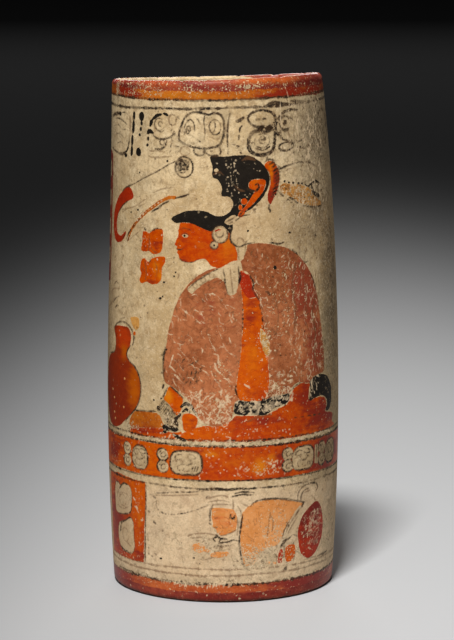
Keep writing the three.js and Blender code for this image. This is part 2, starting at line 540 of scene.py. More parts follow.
def scratch(name, count, across, up, width, reach, lean=(0, 180)):
    # short bent strokes strewn over a place, leaning between two angles
    for _ in range(count):
        s, z = hand.uniform(*across), hand.uniform(*up)
        angle = math.radians(hand.uniform(*lean))
        half = reach * hand.uniform(0.25, 0.6)
        a, b, bend = half * math.cos(angle), half * math.sin(angle), hand.normal(0, 0.3)
        brush(name, [(s - a, z - b), (s - bend * b, z + bend * a), (s + a, z + b)], width * hand.uniform(0.7, 1.2))


def scratches(*places):
    for marks in places:
        scratch(*marks)


def paintRegisters():
    level("amber", 240.9, 300, 0.5, 0.012)
    level("maroon", 245.2, 300, 0.8, 0.006)
    level("orange", 60.2, 76.6, 0.35)
    level("russet", 4.6, 9.1, 0.45, 0.004)
    level("maroon", -3, 5.2, 0.5, 0.004)


# name, height, half width, wobble, slope, roughness
registerLines = (
    ("ink", 241.1, 0.55, 0.3, 0.014, 0.35), ("ink", 237.1, 0.6, 0.35, 0.026, 0.3), ("ink", 79.5, 0.36, 0.3, 0.0, 0.5),
    ("ink", 76.8, 0.55, 0.3, 0.0, 0.45), ("ink", 60, 0.4, 0.25, 0.0, 0.4), ("ink", 56.2, 0.4, 0.35, 0.0, 0.5),
    ("wash", 16.3, 0.4, 0.45, 0.0, 0.6), ("wash", 13.4, 0.45, 0.4, 0.0, 0.5), ("ink", 9.1, 0.55, 0.45, 0.004, 0.6),
)


def paintRegisterLines():
    for name, z, half, wobble, slope, rough in registerLines:
        waves = hand.uniform(0, 2 * math.pi, 3)
        middle = wallLine(z, slope) + wobble * wobbling(waves, (3, 8, 19))
        press = np.convolve(hand.uniform(-1, 1, 702), (0.5, 1, 0.5), "valid")
        press = np.interp((wallS / girth) % 1, np.linspace(0, 1, 701), np.append(press, press[0]))
        paint[name] = np.minimum(paint[name], np.abs(wallZ - middle) - half * (1 + rough * press))
    # here the brush was reloaded
    brush("ink", [(26.4, 237.9), (29.4, 238.7), (33, 238.7), (36.4, 238.3)], 2.4)
    strokes("ink", 1.2, [(36, 238.7), (38, 238.4), (41, 238.2)], [(41, 239.5), (46, 239.2), (52, 239)])
    brush("ink", [(-10, 55.9), (-4, 56.2), (2, 55.8), (8, 56.2), (13, 56)], 1.5)
    dashes("ink", [(-6, 79.4), (4, 79.2), (16, 79), (28, 78.6)], 1.0, 2.4, 1.2)
    strokes(
        "ink", 1.4, [(-67, 9.8), (-56, 9.5), (-46, 9.4)], [(-45, 9.3), (-36, 9.1), (-27, 9.0)],
        [(-24, 9.0), (-14, 8.9), (-8, 9.0)])
    # sandy cream between the double lines
    scratch("scrape", 150, (-60, 66), (77.4, 79.2), 0.5, 1.6, (-30, 40))


def paintBlock(outline, marks=()):
    # a rounded block like those of the top row, with made-up marks inside: rings, arcs and dots
    brush("ink", outline, 1.2, closed=True)
    strokes("ink", 0.6, *marks)


def paintBlockRow():
    strokes(
        "ink", 1.7, [(-79, 229.6), (-75, 230.6), (-70, 231.5), (-66, 232.2), (-63.6, 231.6)],
        [(-66, 212.9), (-61, 213), (-58, 213.9), (-56, 215.4), (-54.8, 217.6)])
    strokes("ink", 0.9, [(-78, 214.8), (-72, 213.7), (-66, 212.9)], [(-54.4, 222), (-54.3, 219.4), (-55, 217.6)])
    strokes(
        "ink", 0.5, [(-63, 232.4), (-58, 233), (-55, 231.4)], [(-72, 229), (-66, 229.6), (-60, 228.6), (-56.4, 227.2)],
        [(-74, 225.4), (-67, 226.4), (-62, 224.8), (-57.6, 225)], [(-71, 221.6), (-65, 222.4), (-59, 220.6)],
        [(-68, 217.6), (-63, 218.6), (-59, 217.4)])
    brush("wash", [(-53.8, 231.4), (-53.3, 228), (-53.8, 224.6)], 1.7)
    strokes(
        "black", 2.1, [(-50, 233.6), (-50.1, 230.6)], [(-50.3, 229.2), (-50.9, 223.9)],
        [(-51.3, 222.2), (-51.7, 217.8)], [(-51.6, 217), (-52, 213.4)])
    dots(
        (-57.5, 212.7, 1.4, 1.1), (-64.4, 232, 1.7, 1), (-44, 232.1, 1.9, 2.2), (-44, 228.8, 0.9, 1),
        (-44.6, 226, 0.9, 1.1), (-45.4, 223.3, 0.9, 0.8), (-46.3, 215, 2, 2.1), (-39.3, 221.8, 0.8, 1.1),
        (-39.8, 218.8, 0.9, 0.8), (-27.3, 211.9, 0.6, 0.5))
    # third block: hooked head over a small tray
    strokes("black", 2.2, [(-37.9, 228), (-36.9, 230.6)], [(-39.6, 224.6), (-38.2, 225.5), (-36.2, 224.8)])
    strokes("black", 1.6, [(-36.4, 231.2), (-33.8, 232.9), (-30.8, 233.8)], [(-29.4, 234.2), (-27, 233.5)])
    strokes(
        "ink", 0.6, loop(-32, 229, 3, 2.9, 0, 60, 330), loop(-31.4, 229.2, 1.2, 1.1, 0, 0, 300),
        loop(-30.4, 220.6, 1.4, 1.3), [(-33, 226), (-31, 225.4), (-29.4, 226.2)])
    strokes(
        "ink", 1.1, [(-36, 223.9), (-34, 222.6), (-30, 222), (-27, 222.7), (-24.6, 223.9)],
        [(-35, 217.3), (-31.6, 217.2), (-28.8, 218.8), (-27.6, 221.6)])
    strokes(
        "wash", 0.9, [(-39.6, 216.8), (-37, 216), (-33, 216.6), (-29, 216.1)],
        [(-40.4, 214.3), (-38, 213.4), (-33, 213.3), (-28, 213.9), (-24.4, 214.3)], loop(-24.2, 231.4, 2.2, 2.5))
    scratch("ink", 16, (-26, -20.6), (216, 233), 0.5, 1.6)
    # fourth: a wide block on two small feet
    paintBlock([(-20.4, 222), (-20.4, 226), (-18.8, 230), (-16.8, 233.2), (-12.6, 235.2), (-8.4, 235.1), (-5, 234.2),
                (-2.6, 234.9), (0, 234.8), (2.4, 232.8), (3.1, 228), (2.2, 223), (0, 219.8), (-5, 218.6), (-12, 218.8),
                (-16.4, 219.9)], [
        [(-17.8, 224.8), (-17.6, 228.4), (-15.8, 231.2), (-14, 231.7), (-12.5, 229.8), (-12.2, 226.6)],
        loop(-15.6, 227, 1.1, 1.9, -15), loop(-1.6, 228.4, 3, 3.5, 5), [(-2, 231.2), (-1.4, 228.8), (-2.4, 226)],
        [(-16.2, 227.6), (-15.2, 226.2)], [(-11, 232.6), (-9.6, 230.4)], [(-10.8, 222.6), (-9.2, 221.4)],
        [(-6.4, 234.6), (-7.3, 231.4), (-6.8, 226.4), (-7.2, 222.6)]])
    strokes("wash", 0.7, loop(-17.4, 217, 2.6, 2.1), [(-19, 225), (-18.6, 228.4)], [(-4.6, 224), (-1, 222.6), (1, 224)])
    strokes(
        "ink", 0.9, [(-12.9, 218.8), (-12.6, 216.6), (-11, 215.2), (-8, 215.1)],
        [(-7.6, 218.8), (-7.2, 216.8), (-8, 215.3)],
        [(-6.4, 218.4), (-6.4, 216.4), (-4, 215.2), (0, 215.4), (1.2, 217.2), (0.2, 219.2)],
        [(6.2, 234.8), (5.2, 231), (4.6, 224), (4.7, 216)])
    brush("ink", [(9.4, 231.1), (11.4, 231.6), (13.2, 232.7)], 1.6)
    strokes(
        "ink", 1, [(12.3, 228.9), (11.2, 227.6), (10.8, 226)], [(10.6, 224.6), (10.3, 222.6)],
        [(8.9, 219.6), (10.4, 219.4)], [(10.6, 216.6), (11.8, 216)])
    dashes("wash", [(12.8, 224), (12.2, 216)], 0.6, 1.4, 1)
    # a pair, one over the other
    brush("ink", loop(23.4, 231.9, 7.7, 4.1, -2), 1.4, closed=True)
    dashes("ink", [(19.8, 231.6), (26.4, 231.9)], 0.9, 2.2, 0.7)
    strokes("black", 2.2, [(20.6, 226.6), (23.8, 228)], [(25.2, 227.3), (28.8, 227.6)])
    brush(
        "ink", [(15.3, 219.8), (16.2, 223.8), (19.4, 226.2), (25, 226), (29.6, 226.6), (30.2, 223.4), (29.4, 219),
        (27.2, 215.9), (21.4, 215), (16.8, 216.5)], 2, closed=True)
    strokes(
        "ink", 0.6, loop(22.8, 221.6, 4.2, 3.3, 10, 150, 480), loop(23, 222, 2, 1.6, 0, 0, 320),
        [(22.4, 228.8), (25, 228.9)], [(19, 218.4), (23, 217.2), (27, 218.8)])
    brush("ink", [(22, 222.3), (23.4, 221.9), (24.8, 223.2)], 1.3)
    # sixth: open to the right, its ink nearly gone
    strokes(
        "ink", 1.8, [(33, 231.4), (34.2, 232.8)], [(31.6, 229.8), (30.7, 228), (31, 226.2)],
        [(30.6, 225), (33, 224.5), (33.9, 225.8)])
    strokes(
        "ink", 1.5, [(35.2, 234), (38, 235), (42, 235.5), (46.4, 235)], [(34.4, 226.6), (36.4, 226), (38.8, 226.7)],
        loop(36.8, 229.6, 0.8, 0.7))
    strokes(
        "ink", 1.2, loop(37, 229.2, 3.4, 3.4, 0, 40, 320), [(33.6, 224), (34.8, 222), (38, 221.1)],
        loop(37, 218.4, 5, 1.9, 4), [(45, 220.2), (48, 220.6), (51.4, 221.4)], [(46, 217.6), (50, 216.6)])
    strokes(
        "ink", 1.6, [(55.8, 231), (55.2, 227.6), (54.7, 224.4)], [(52.4, 218.2), (55, 217.5)],
        [(57.4, 217.4), (61, 216.6)])
    scratches(
        ("ink", 26, (40, 62), (214, 236), 0.5, 2.6, (60, 120)),
        ("wash", 26, (38, 66), (212, 237), 0.7, 3, (50, 130)),
    )
    brush("ink", [(63, 217), (70, 216.4), (76, 218)], 0.8)
    paintBlock([(64, 222), (65, 230), (70, 233.4), (77, 232), (79, 225), (76, 219.6), (68, 219)], [
        loop(71.5, 226.5, 3, 2.6)])


def paintBackBlocks():
    for i, s in enumerate(np.arange(88, 266, 16.5)):
        place.update(shift=s, lift=-rimSag(s / belly))
        w, h = 6.6 + hand.uniform(-0.6, 0.6), 8.4 + hand.uniform(-0.6, 0.6)
        if i % 3 == 2:
            rings("ink", 1.1, (0, 230.4, w, 3.9), (0, 220.6, w - 0.5, 4.6))
            dots((0, 220.6, 1.1, 0.9))
            strokes("ink", 0.6, [(-3, 230), (0, 231.3), (3.4, 230.4)], loop(0, 220.6, 2.6, 2.2, 0, 30, 330))
        else:
            paintBlock([(-w, -h + 225), (-w - 0.3, 229), (-w + 2.4, h + 224.4), (0, h + 225.4), (w - 1.2, h + 224.4),
                        (w, 227), (w - 0.6, -h + 226), (0, -h + 224.2)], [
                loop(-1, 227, 2.6, 3.2, 10), loop(-1, 227, 1, 1.3), [(-4, 219), (0, 217.9), (4, 219.4)],
                [(2.4, 231), (3.9, 227), (2.6, 222.6)]])
        if i % 2:
            dashes("black", [(9, 233), (8.6, 225), (8.8, 216)], 1.3, 2.6, 1.8)
    place.update(shift=0, lift=0)


def paintCartouche(s, gap, width):
    # two small lobes and a larger rounded block, kept cream
    for z in (71.4, 65.6):
        oval("pale", s, z, 3.2, 3)
        brush("ink", loop(s, z, 3.2, 3, 0, 50, 340), 0.85)
        strokes("ink", 0.6, loop(s + 0.4, z, 1.5, 1.1, 25, 30, 330), [(s - 2, z + 0.6), (s - 0.8, z + 1.6)])
    half = width / 2
    middle = s + gap + half
    outline = [(middle - half, 66), (middle - half + 0.4, 71), (middle - half + 3, 73.6), (middle, 74.1),
               (middle + half - 2.6, 73.8),
               (middle + half, 71), (middle + half - 0.1, 65.5), (middle + half - 2.6, 62.8), (middle, 62.6),
               (middle - half + 2.6, 62.9)]
    fill("pale", outline)
    brush("ink", outline, 0.95, closed=True)
    for share, z, wide, tall, tilt, start in (
        (-0.4, 71, 2.1, 1.2, 15, 20), (0.35, 71.4, 2.2, 1.1, -10, 200), (-0.3, 65.8, 1.7, 1.4, 0, 80),
        (0.1, 68.4, 2.6, 1, 8, 150),
    ):
        brush("ink", loop(middle + share * half, z, wide, tall, tilt, start, start + 280), 0.55)
    for share in (0.45, 0.6, 0.75):
        brush("ink", [(middle + share * half - 0.5, 64.4), (middle + share * half + 0.3, 66.8)], 0.55)
    strokes("wash", 0.6, [(middle - half + 1.4, 68.6), (middle - 1, 69.4)], [(middle - 1, 64), (middle + 2, 64.4)])


def paintHeron():
    # pale bird at the front of the headdress: brow line, eye, long bill with an orange edge
    brush("ink", [(-57, 197.6), (-50, 199.6), (-42, 203), (-34, 206.4), (-27, 210), (-22, 212.2)], 0.5, ends=0.8)
    brush("ink", loop(-18, 209.4, 4.8, 4.9), 0.75, closed=True)
    strokes("ink", 1.3, [(-22.6, 209.4), (-21.4, 211.8), (-19, 213)], [(-20.4, 210.4), (-18.6, 211.6), (-16.8, 210.2)])
    for _ in range(11):
        s, z = -18.6 + hand.uniform(-1.2, 1.2), 210 + hand.uniform(-1, 1.4)
        wide, tall = 2.2 + hand.uniform(-1.2, 0.8), 1.9 + hand.uniform(-1, 0.8)
        tilt, start, end = hand.uniform(0, 90), hand.uniform(0, 180), hand.uniform(260, 420)
        brush("ink", loop(s, z, wide, tall, tilt, start, end), 0.6)
    fill("amber", [
        (-54.6, 172), (-52.8, 177), (-48.4, 181.6), (-44.2, 184.8), (-40.6, 187.8), (-36, 190.6), (-31, 193.6),
        (-26, 195.5), (-22.4, 195.6), (-22.6, 194.4), (-27, 193.7), (-31.4, 191.6), (-36, 188.6), (-40.6, 185.8),
        (-44.6, 183), (-48.6, 179.4), (-52, 175.4), (-53.6, 172)])
    dashes("scrape", [(-47, 182.4), (-42.6, 185.6), (-38, 188.6), (-30, 193.4)], 0.8, 1.2, 1.3)
    dashes("wash", [(-52, 177), (-48.6, 181), (-44, 184.6), (-38, 189), (-30, 193.8)], 0.5, 1.6, 0.7)
    strokes(
        "ink", 1, [(-37, 187.3), (-33, 189.3), (-29.6, 191.5), (-26.4, 193)],
        [(-22.6, 194.7), (-19.4, 195.4), (-15.6, 196.7)])
    strokes(
        "ink", 0.7, [(-55.6, 172.6), (-54, 175.4), (-51.8, 177.8)], [(-54.8, 171.8), (-52.6, 174.6)],
        [(-46.6, 182.2), (-44.2, 183.6)], [(-50.4, 178.6), (-47.6, 181.4)])
    strokes(
        "wash", 0.6, [(-53.2, 172.4), (-48, 175.6), (-44.4, 178), (-41, 181)],
        [(-61, 186.2), (-56, 187.2), (-50, 188.6), (-46, 190.2), (-42, 192.4), (-39.4, 193.8)],
        [(-60, 185.2), (-55, 187.6)], [(-46, 189), (-41, 191)], [(-36, 196.4), (-30, 198.6), (-24, 199.6)])
    dots(
        (-45.3, 205.4, 0.6, 0.5), (-51.8, 185.9, 0.7, 0.5), (-46.2, 187.6, 0.7, 0.5), (-23.4, 157.6, 0.5, 0.4),
        (-22.6, 159.6, 0.4, 0.4), (-29, 154.4, 0.7, 0.5), (-31.2, 146.6, 0.8, 0.5), (-29.6, 147.6, 0.4, 0.4),
        (13.8, 179.6, 0.6, 0.5), (36.4, 177.6, 0.8, 0.5))


def paintHook():
    fill("red", [
        (-50.6, 192.6), (-50.2, 195), (-52.6, 197.4), (-56, 197.6), (-60, 195.4), (-64.8, 192.2), (-69, 188),
        (-71.6, 183), (-72.2, 178), (-71, 173.6), (-67.6, 170.4), (-63, 170.3), (-59, 172), (-56.2, 175),
        (-56.8, 176.6), (-60.4, 174), (-64, 173.8), (-66.6, 175.8), (-66.8, 180.4), (-64.8, 184), (-60.8, 187.6),
        (-56, 190.4)])
    strokes(
        "ink", 0.7, [(-60.6, 195), (-57, 197.4), (-53.4, 198)],
        [(-66.6, 182), (-64.4, 184.8), (-60.4, 188), (-55, 191)], [(-60, 172), (-57.4, 174.6), (-56.6, 176.4)])


def paintHair():
    fill("black", [
        (-4.2, 214.8), (3, 214.7), (10, 215.3), (16, 214.7), (20.4, 212.6), (24, 209.2), (25.9, 205.4), (25.8, 201.6),
        (23.8, 198), (19.6, 193.8), (15.4, 190.4), (11, 187.7), (6.8, 185.6), (6.2, 182.2), (6.3, 179.6), (4.8, 178.5),
        (3.2, 180.3), (1.2, 181.9), (-1.6, 181.8), (-4.4, 179.6), (-9, 181), (-13.4, 182.9), (-18, 183.3), (-22.4, 183),
        (-25, 184.9), (-22, 186.8), (-17, 188.8), (-11.4, 189.2), (-6.2, 188.7), (-2.8, 187), (1.4, 186.9), (5, 189),
        (6.6, 192.6), (5, 195.6), (1.1, 196.2), (1.2, 200.2), (-0.6, 203.6), (-3.2, 205.3), (-3.3, 210)])
    oval("pale", -1.4, 208.2, 1.1, 0.8)
    fill("pale", [(2.2, 183.6), (4.4, 186), (7.4, 187.2), (8.4, 185), (5.6, 182.6)])
    strokes("ink", 0.6, [(2.8, 184), (5.2, 185), (7.6, 186.4)], [(4.4, 183.2), (6.2, 184)])
    strokes("wash", 1.6, [(12, 212.8), (15, 213.9), (18.6, 212.8)])
    strokes("wash", 1, [(-2.6, 206.4), (0, 207.4), (2.2, 206)], [(8, 201), (10, 199), (12.6, 198.4)])
    for path in ([(6.6, 214.6), (5.8, 208), (6.2, 200), (5.4, 194)], [(12.4, 212), (15, 210.8), (18.6, 211.4)],
                 [(17.4, 208.8), (20, 207.6), (23, 208)], [(8.6, 203.6), (9.4, 199)], [(7.6, 212), (8.2, 205)],
                 [(3.4, 204), (4, 199)]):
        dashes("scrape", path, 0.42, 0.7, 0.9)
    scratches(
        ("scrape", 26, (3.6, 10), (191, 214), 0.42, 0.8),
        ("scrape", 22, (-16, 22), (196, 214), 0.36, 0.6),
    )
    # orange scroll tucked under the hair, two beads below it, and its brushed border
    fill("orange", [
        (14.8, 201.6), (16.2, 203.3), (20, 203.8), (23.6, 203.2), (23.6, 200.4), (21.4, 196.6), (17.4, 192.6),
        (13.4, 189), (11, 186.2), (9.2, 186.6), (9.6, 188.4), (12.6, 191), (14.6, 193.6), (16.6, 196.4), (18, 198.4),
        (16.4, 198.8), (15, 199.8)])
    oval("orange", 12.3, 193.5, 1.7, 1.6)
    oval("orange", 10.3, 190.7, 1, 1.3)
    brush("ink", [(14.4, 199.6), (17, 198.3), (19, 198.6), (20.3, 200.1), (19.4, 201.8), (18.2, 201)], 0.9)
    brush("black", [(24.2, 199), (20.8, 195), (16.8, 191.4), (12.8, 188.7)], 1.5)
    dashes("pale", [(23.6, 198), (20, 194.2), (16.2, 190.8), (13.4, 189)], 0.6, 0.8, 1)
    strokes(
        "ink", 0.6, [(10, 186.4), (12.4, 187), (15, 187.2)], [(7.8, 184.6), (10, 186)], [(9.6, 186.8), (11.8, 189.4)])


def paintCrest():
    fill("orange", [
        (23.6, 209.8), (24.6, 211.6), (27, 212), (29.6, 210.8), (31.2, 208.2), (31.8, 205), (31.3, 201), (29.8, 197.2),
        (27.8, 194), (26, 191.6), (24.7, 193.2), (24.6, 196), (25.8, 199.4), (26.6, 203), (25.8, 206.6)])
    for s, z in ((28.8, 211.2), (30.4, 209.8), (31.4, 208.2), (31.8, 206.5), (31.9, 204.8), (31.7, 203.1),
                 (31.4, 201.4),
                 (30.8, 199.6), (30.2, 197.8), (29.2, 196)):
        brush("ink", [(s + 0.5, z + 0.3), (s - 1, z), (s - 2.8, z - 1)], 1.05)
    strokes(
        "ink", 0.8, [(23.6, 211.4), (26, 212.8), (29.6, 212.2)], [(25.6, 214.6), (25, 213), (26.2, 211.6)],
        [(28.6, 211.2), (31, 209.6), (33.4, 208.2)], [(25.6, 191.8), (24.8, 190.2), (25.8, 188.6), (25.4, 188)])
    strokes("ink", 0.5, [(16.8, 188.8), (18, 189.7), (17.6, 188.2)], [(25.2, 208), (26.4, 204), (25.8, 200)])


def paintFeather():
    strokes(
        "ink", 0.95, [(30.4, 207.4), (33, 208.2), (36.4, 209.2), (41, 210)],
        [(41, 210.1), (46.6, 210.4), (53, 209.6), (59, 207.2), (65, 203)])
    strokes(
        "wash", 0.6, [(35.4, 206.6), (37.6, 207.6), (40.4, 208)], [(44, 208.6), (48, 208.4)],
        [(53, 208), (58, 205), (62, 201.4)])
    fill("ochre", [
        (31.6, 199.6), (34.6, 201.2), (39, 200.6), (44, 199.8), (49, 198.6), (54, 196.4), (57, 192.8), (61.6, 190.2),
        (61.4, 188.4), (55.4, 188.6), (49.4, 189.8), (44.4, 191.2), (40, 193.2), (36.6, 195.2), (33, 197)])
    for s, z in ((34.6, 202), (37.4, 201.3), (40.2, 201), (43.6, 200.4), (46.2, 200.3)):
        dots((s, z, 0.8, 0.6))
    strokes("black", 1.3, [(48.6, 199.3), (51, 198.6), (54, 199.6), (58, 200.2), (63, 198.6)])
    strokes("black", 2.2, [(53.8, 198.4), (54.6, 195.8), (57.2, 194), (60.4, 193.2)])
    strokes(
        "ink", 0.9, [(62.4, 198.6), (59.4, 198.4), (58.4, 196.8), (60.2, 195.4), (63.6, 195.8)],
        [(30.8, 197.4), (32, 196.4), (33.6, 195)], [(35.4, 193), (38, 193.9), (40.4, 192.6), (42.6, 191.2)],
        [(46, 189.6), (51, 188.7), (56, 188.2), (61.8, 188.3)])
    scratches(
        ("wash", 46, (34, 58), (190, 200), 0.6, 1.4, (-20, 60)),
        ("ink", 16, (35, 56), (190, 200), 0.6, 1),
        ("scrape", 22, (33, 60), (189, 200), 0.5, 1.2),
    )


def paintHead():
    # a calm profile of no one in particular, on plain proportions
    fill("orange", [
        (-19.6, 183.4), (-21, 180), (-21, 177.4), (-22.6, 174), (-23, 172.6), (-21.6, 171.8), (-22.1, 170.7),
        (-21.4, 170), (-21.8, 169), (-20.8, 167.6), (-20.6, 166.2), (-18.4, 164.8), (-14.4, 164.6), (-10.6, 166),
        (-7.4, 166.4), (-4, 163), (2, 162), (8.6, 165.4), (8.7, 172), (6.4, 178), (2.4, 181.4), (-5, 181.4), (-10, 182),
        (-15, 184)])
    fill("pale", [(-19.2, 177.2), (-17.6, 178), (-15.6, 177), (-17, 176.2), (-18.4, 176.3)])
    dots((-17.9, 177.1, 0.55, 0.5))
    strokes(
        "ink", 0.45, [(-19.6, 177.3), (-17.7, 178.4), (-15, 177.2)], [(-20, 180.1), (-17.6, 180.7), (-14.6, 179.7)],
        [(-21.8, 170.6), (-20, 170.5), (-18.7, 170.9)], [(-20.4, 166.2), (-18.4, 164.9), (-14.4, 164.7), (-10.8, 166)])
    brush("wash", [(-21.7, 172.6), (-20.8, 173), (-20.6, 173.9)], 0.4)
    # ear ornaments
    oval("pale", 0, 178.1, 3.9, 4.1)
    rings("ink", 0.85, (0, 178.1, 3.9, 4.1))
    brush("ink", loop(-0.3, 178.4, 1.9, 1.7, 0, 150, 380), 0.7)
    brush("red", [(-2.2, 179.7), (-1, 180.3), (0.6, 180.2)], 0.8)
    oval("pale", -3, 173, 1.9, 1.8)
    rings("ink", 0.75, (-3, 173, 1.9, 1.8))
    dots((-3, 173, 0.5, 0.5))


def paintTie():
    # pale cloth knot behind the ear and the strings below it
    fill("pale", [
        (4.8, 177.6), (6.2, 180), (6.6, 183), (9, 185), (13, 186), (13.4, 180), (12.6, 175), (12.2, 171), (11, 166.4),
        (8.4, 165.6), (8.3, 169), (7.2, 172.6), (5.4, 174.4)])
    strokes(
        "ink", 0.95, [(6, 180.4), (5, 178), (5.2, 175.2), (7, 173), (9.6, 172.2), (12.4, 173.3), (17, 174)],
        [(25, 173.5), (27.4, 173.3), (29.4, 172.6), (32.8, 173.3)])
    strokes(
        "wash", 0.8, [(8.4, 173.6), (8.8, 176.2), (10.4, 176), (12, 174), (12.3, 171.2), (11.8, 167.4)],
        [(8.7, 171.6), (8.6, 168.6), (9.2, 166)])


def paintCape(pigment):
    fill(pigment, [
        (10.6, 167), (12.8, 170.6), (14, 173.4), (22, 173.4), (28, 172.2), (33, 171), (38.4, 168.4), (43.4, 164.6),
        (48, 159.6), (51.4, 154.4), (53.6, 148.6), (55.6, 139), (57.2, 131), (58.6, 122), (59.2, 113), (58.8, 108.4),
        (54, 107.6), (50, 106.8), (46, 104.4), (40, 105.4), (35.6, 103.6), (33.6, 99.4), (30, 98.2), (24, 97), (14, 97),
        (6.4, 98), (5.6, 94), (3.8, 89.6), (0, 87), (-5, 86.6), (-9.6, 88.6), (-12.6, 92.6), (-15, 97), (-18.8, 101),
        (-24, 104.4), (-28.6, 106.8), (-29.4, 112), (-28.9, 118), (-27.8, 124), (-26.6, 131), (-24.6, 138), (-22, 145),
        (-18.6, 151), (-14.6, 155.6), (-10, 159), (-5.4, 161.4), (0, 163), (6, 164)])
    strokes(
        "ink", 0.8, [(36, 169.8), (38.6, 168.6), (41, 166.8)], [(44.4, 163.6), (46, 162.6), (47.8, 162.8)],
        [(50, 156.6), (52.2, 152), (53.4, 148.6)], [(-28.9, 107.4), (-29.4, 112), (-29.2, 118), (-28.2, 123.6)],
        [(7, 163), (6.8, 160)])
    strokes(
        "ink", 1.2, [(-30.1, 119.5), (-28.8, 120.8), (-27.4, 122.6)], [(-30.2, 111), (-28.9, 112.2), (-28.3, 114)],
        [(-29.8, 103.6), (-29.2, 105.4)], [(23, 150.4), (24.6, 148.4)])
    oval("black", 27.4, 161.6, 0.8, 1, 30)
    # folds where the slip lies thicker, then the marks of wear
    strokes(
        "wash", 1.4, [(52.6, 146), (50, 138), (52, 129), (51, 119), (53, 110)],
        [(39.6, 163), (37, 152), (38.6, 141), (37.4, 130)])
    strokes("wash", 0.7, [(24.4, 154), (27.4, 146), (28.6, 138), (27, 129)], [(43, 160), (46, 148), (45, 136)])
    scratches(
        ("wash", 90, (-26, 10), (104, 160), 0.55, 2.6, (20, 110)),
        ("wash", 120, (14, 57), (104, 170), 0.6, 2.8, (60, 130)),
        ("ink", 18, (-21, -9), (106, 118), 0.5, 2.4, (40, 80)),
        ("ink", 26, (18, 56), (106, 168), 0.5, 1.4),
        ("scrape", 170, (-18, 4), (87, 103), 0.5, 2.8, (20, 160)),
        ("scrape", 70, (-28, 6), (100, 150), 0.3, 3.6, (100, 170)),
    )
    strokes(
        "scrape", 0.5, [(-26, 115), (-24.2, 113.4), (-22.6, 112)], [(-23.4, 110.6), (-21, 108.6), (-18.4, 106.4)],
        [(-24, 120), (-25, 117), (-26.2, 114)])
    scratches(
        ("scrape", 70, (22, 36), (97, 112), 0.6, 2.2),
        ("scrape", 190, (34, 58), (106, 166), 0.3, 3.4, (50, 130)),
        ("scrape", 60, (12, 34), (128, 172), 0.3, 2.2),
        ("scrape", 30, (-28, 20), (103, 160), 0.3, 8, (110, 160)),
    )


def paintCollar():
    fill("pale", [
        (-16.4, 152.2), (-12, 155.8), (-6.4, 159.4), (0, 162.4), (6, 165.4), (9.6, 165.2), (10.6, 160), (8.6, 155),
        (7, 150), (3.6, 149.6), (2, 155), (-1.6, 157.6), (-6.4, 155.8), (-11.6, 152.2), (-14.2, 149.6)])
    strokes(
        "ink", 0.6, [(1.2, 161.6), (1.8, 158.4), (2.3, 154), (3.4, 149.8)], [(8.6, 163), (9, 158), (8.4, 154)],
        [(-16.2, 152), (-12, 155.7), (-6.2, 159.3), (-0.4, 162.2)])
    brush("wash", [(4.6, 162.6), (5, 158), (5.6, 152), (5.8, 149.8)], 0.7)
    dashes("wash", [(-13, 151.6), (-8, 155.2), (-2, 158.4)], 0.5, 2.4, 1.2)
    rings("wash", 0.5, (-12.6, 153.6, 1.2, 1.1), (-8.6, 156.4, 1.2, 1.1), (-4.4, 158.8, 1.2, 1.1))


def paintSash():
    fill("orange", [
        (9.4, 160.4), (14, 158.9), (16.4, 152), (19, 145), (20.4, 137), (21.4, 130), (22.4, 122), (22.8, 114),
        (23.2, 107), (22, 101.4), (19.4, 98.6), (13, 98.4), (7.8, 99.8), (6.8, 103.6), (7, 108), (8.2, 115), (9.2, 122),
        (9.9, 130), (10.5, 137), (10.4, 145), (9.8, 152)])
    fill("red", [(9.6, 160), (13.6, 158.6), (16, 152.2), (17.8, 148.6), (13.4, 147.8), (11, 150.6), (9.2, 154.6)])
    fill("ochre", [(18.8, 133), (21.6, 130.4), (23.6, 125), (23.4, 120), (20.8, 121), (19.2, 126)])
    strokes(
        "ink", 0.8, [(8.9, 155), (9.6, 157.6), (9.4, 160.2)], [(14.4, 158.2), (16, 154.6), (15.6, 151.6), (18.4, 147)],
        [(6.8, 107), (6.5, 103.6), (7.8, 100.2)])
    dashes("ink", [(10.6, 145), (10.4, 138), (10.2, 131)], 0.7, 1.6, 0.9)
    dashes("ink", [(18.8, 144.6), (20, 139), (20.4, 133)], 0.8, 2, 1)
    brush("scrape", [(10.6, 106.6), (12.4, 105.6), (13.4, 104.6)], 1)
    strokes(
        "scrape", 0.9, [(-3.4, 117), (-2.4, 113.6), (-0.6, 112)], [(-1.4, 118), (-1.2, 115)],
        [(20.6, 103), (22, 101), (21.4, 99.6)])
    scratch("scrape", 30, (19, 25), (99, 132), 0.5, 1.2)


def paintKnots():
    # spotted cloth at the hem: black, with bare cream winding through it
    fill("black", [
        (5.6, 95.4), (7, 98.8), (12, 98.4), (19, 98.2), (24.6, 100), (29, 100.4), (33.8, 100.6), (33.4, 97), (30, 95.4),
        (26, 94.6), (23, 92.6), (20, 91.3), (14, 92), (10, 91.6), (6, 92.8)])
    scratches(
        ("scrape", 24, (6, 13), (92.4, 98.4), 0.6, 2.2, (10, 60)),
        ("scrape", 40, (13, 24), (92, 98.6), 0.95, 2),
        ("scrape", 34, (23, 33.6), (95, 100.4), 0.75, 1.8),
        ("black", 14, (6, 33), (92.6, 99), 0.7, 1.6),
    )


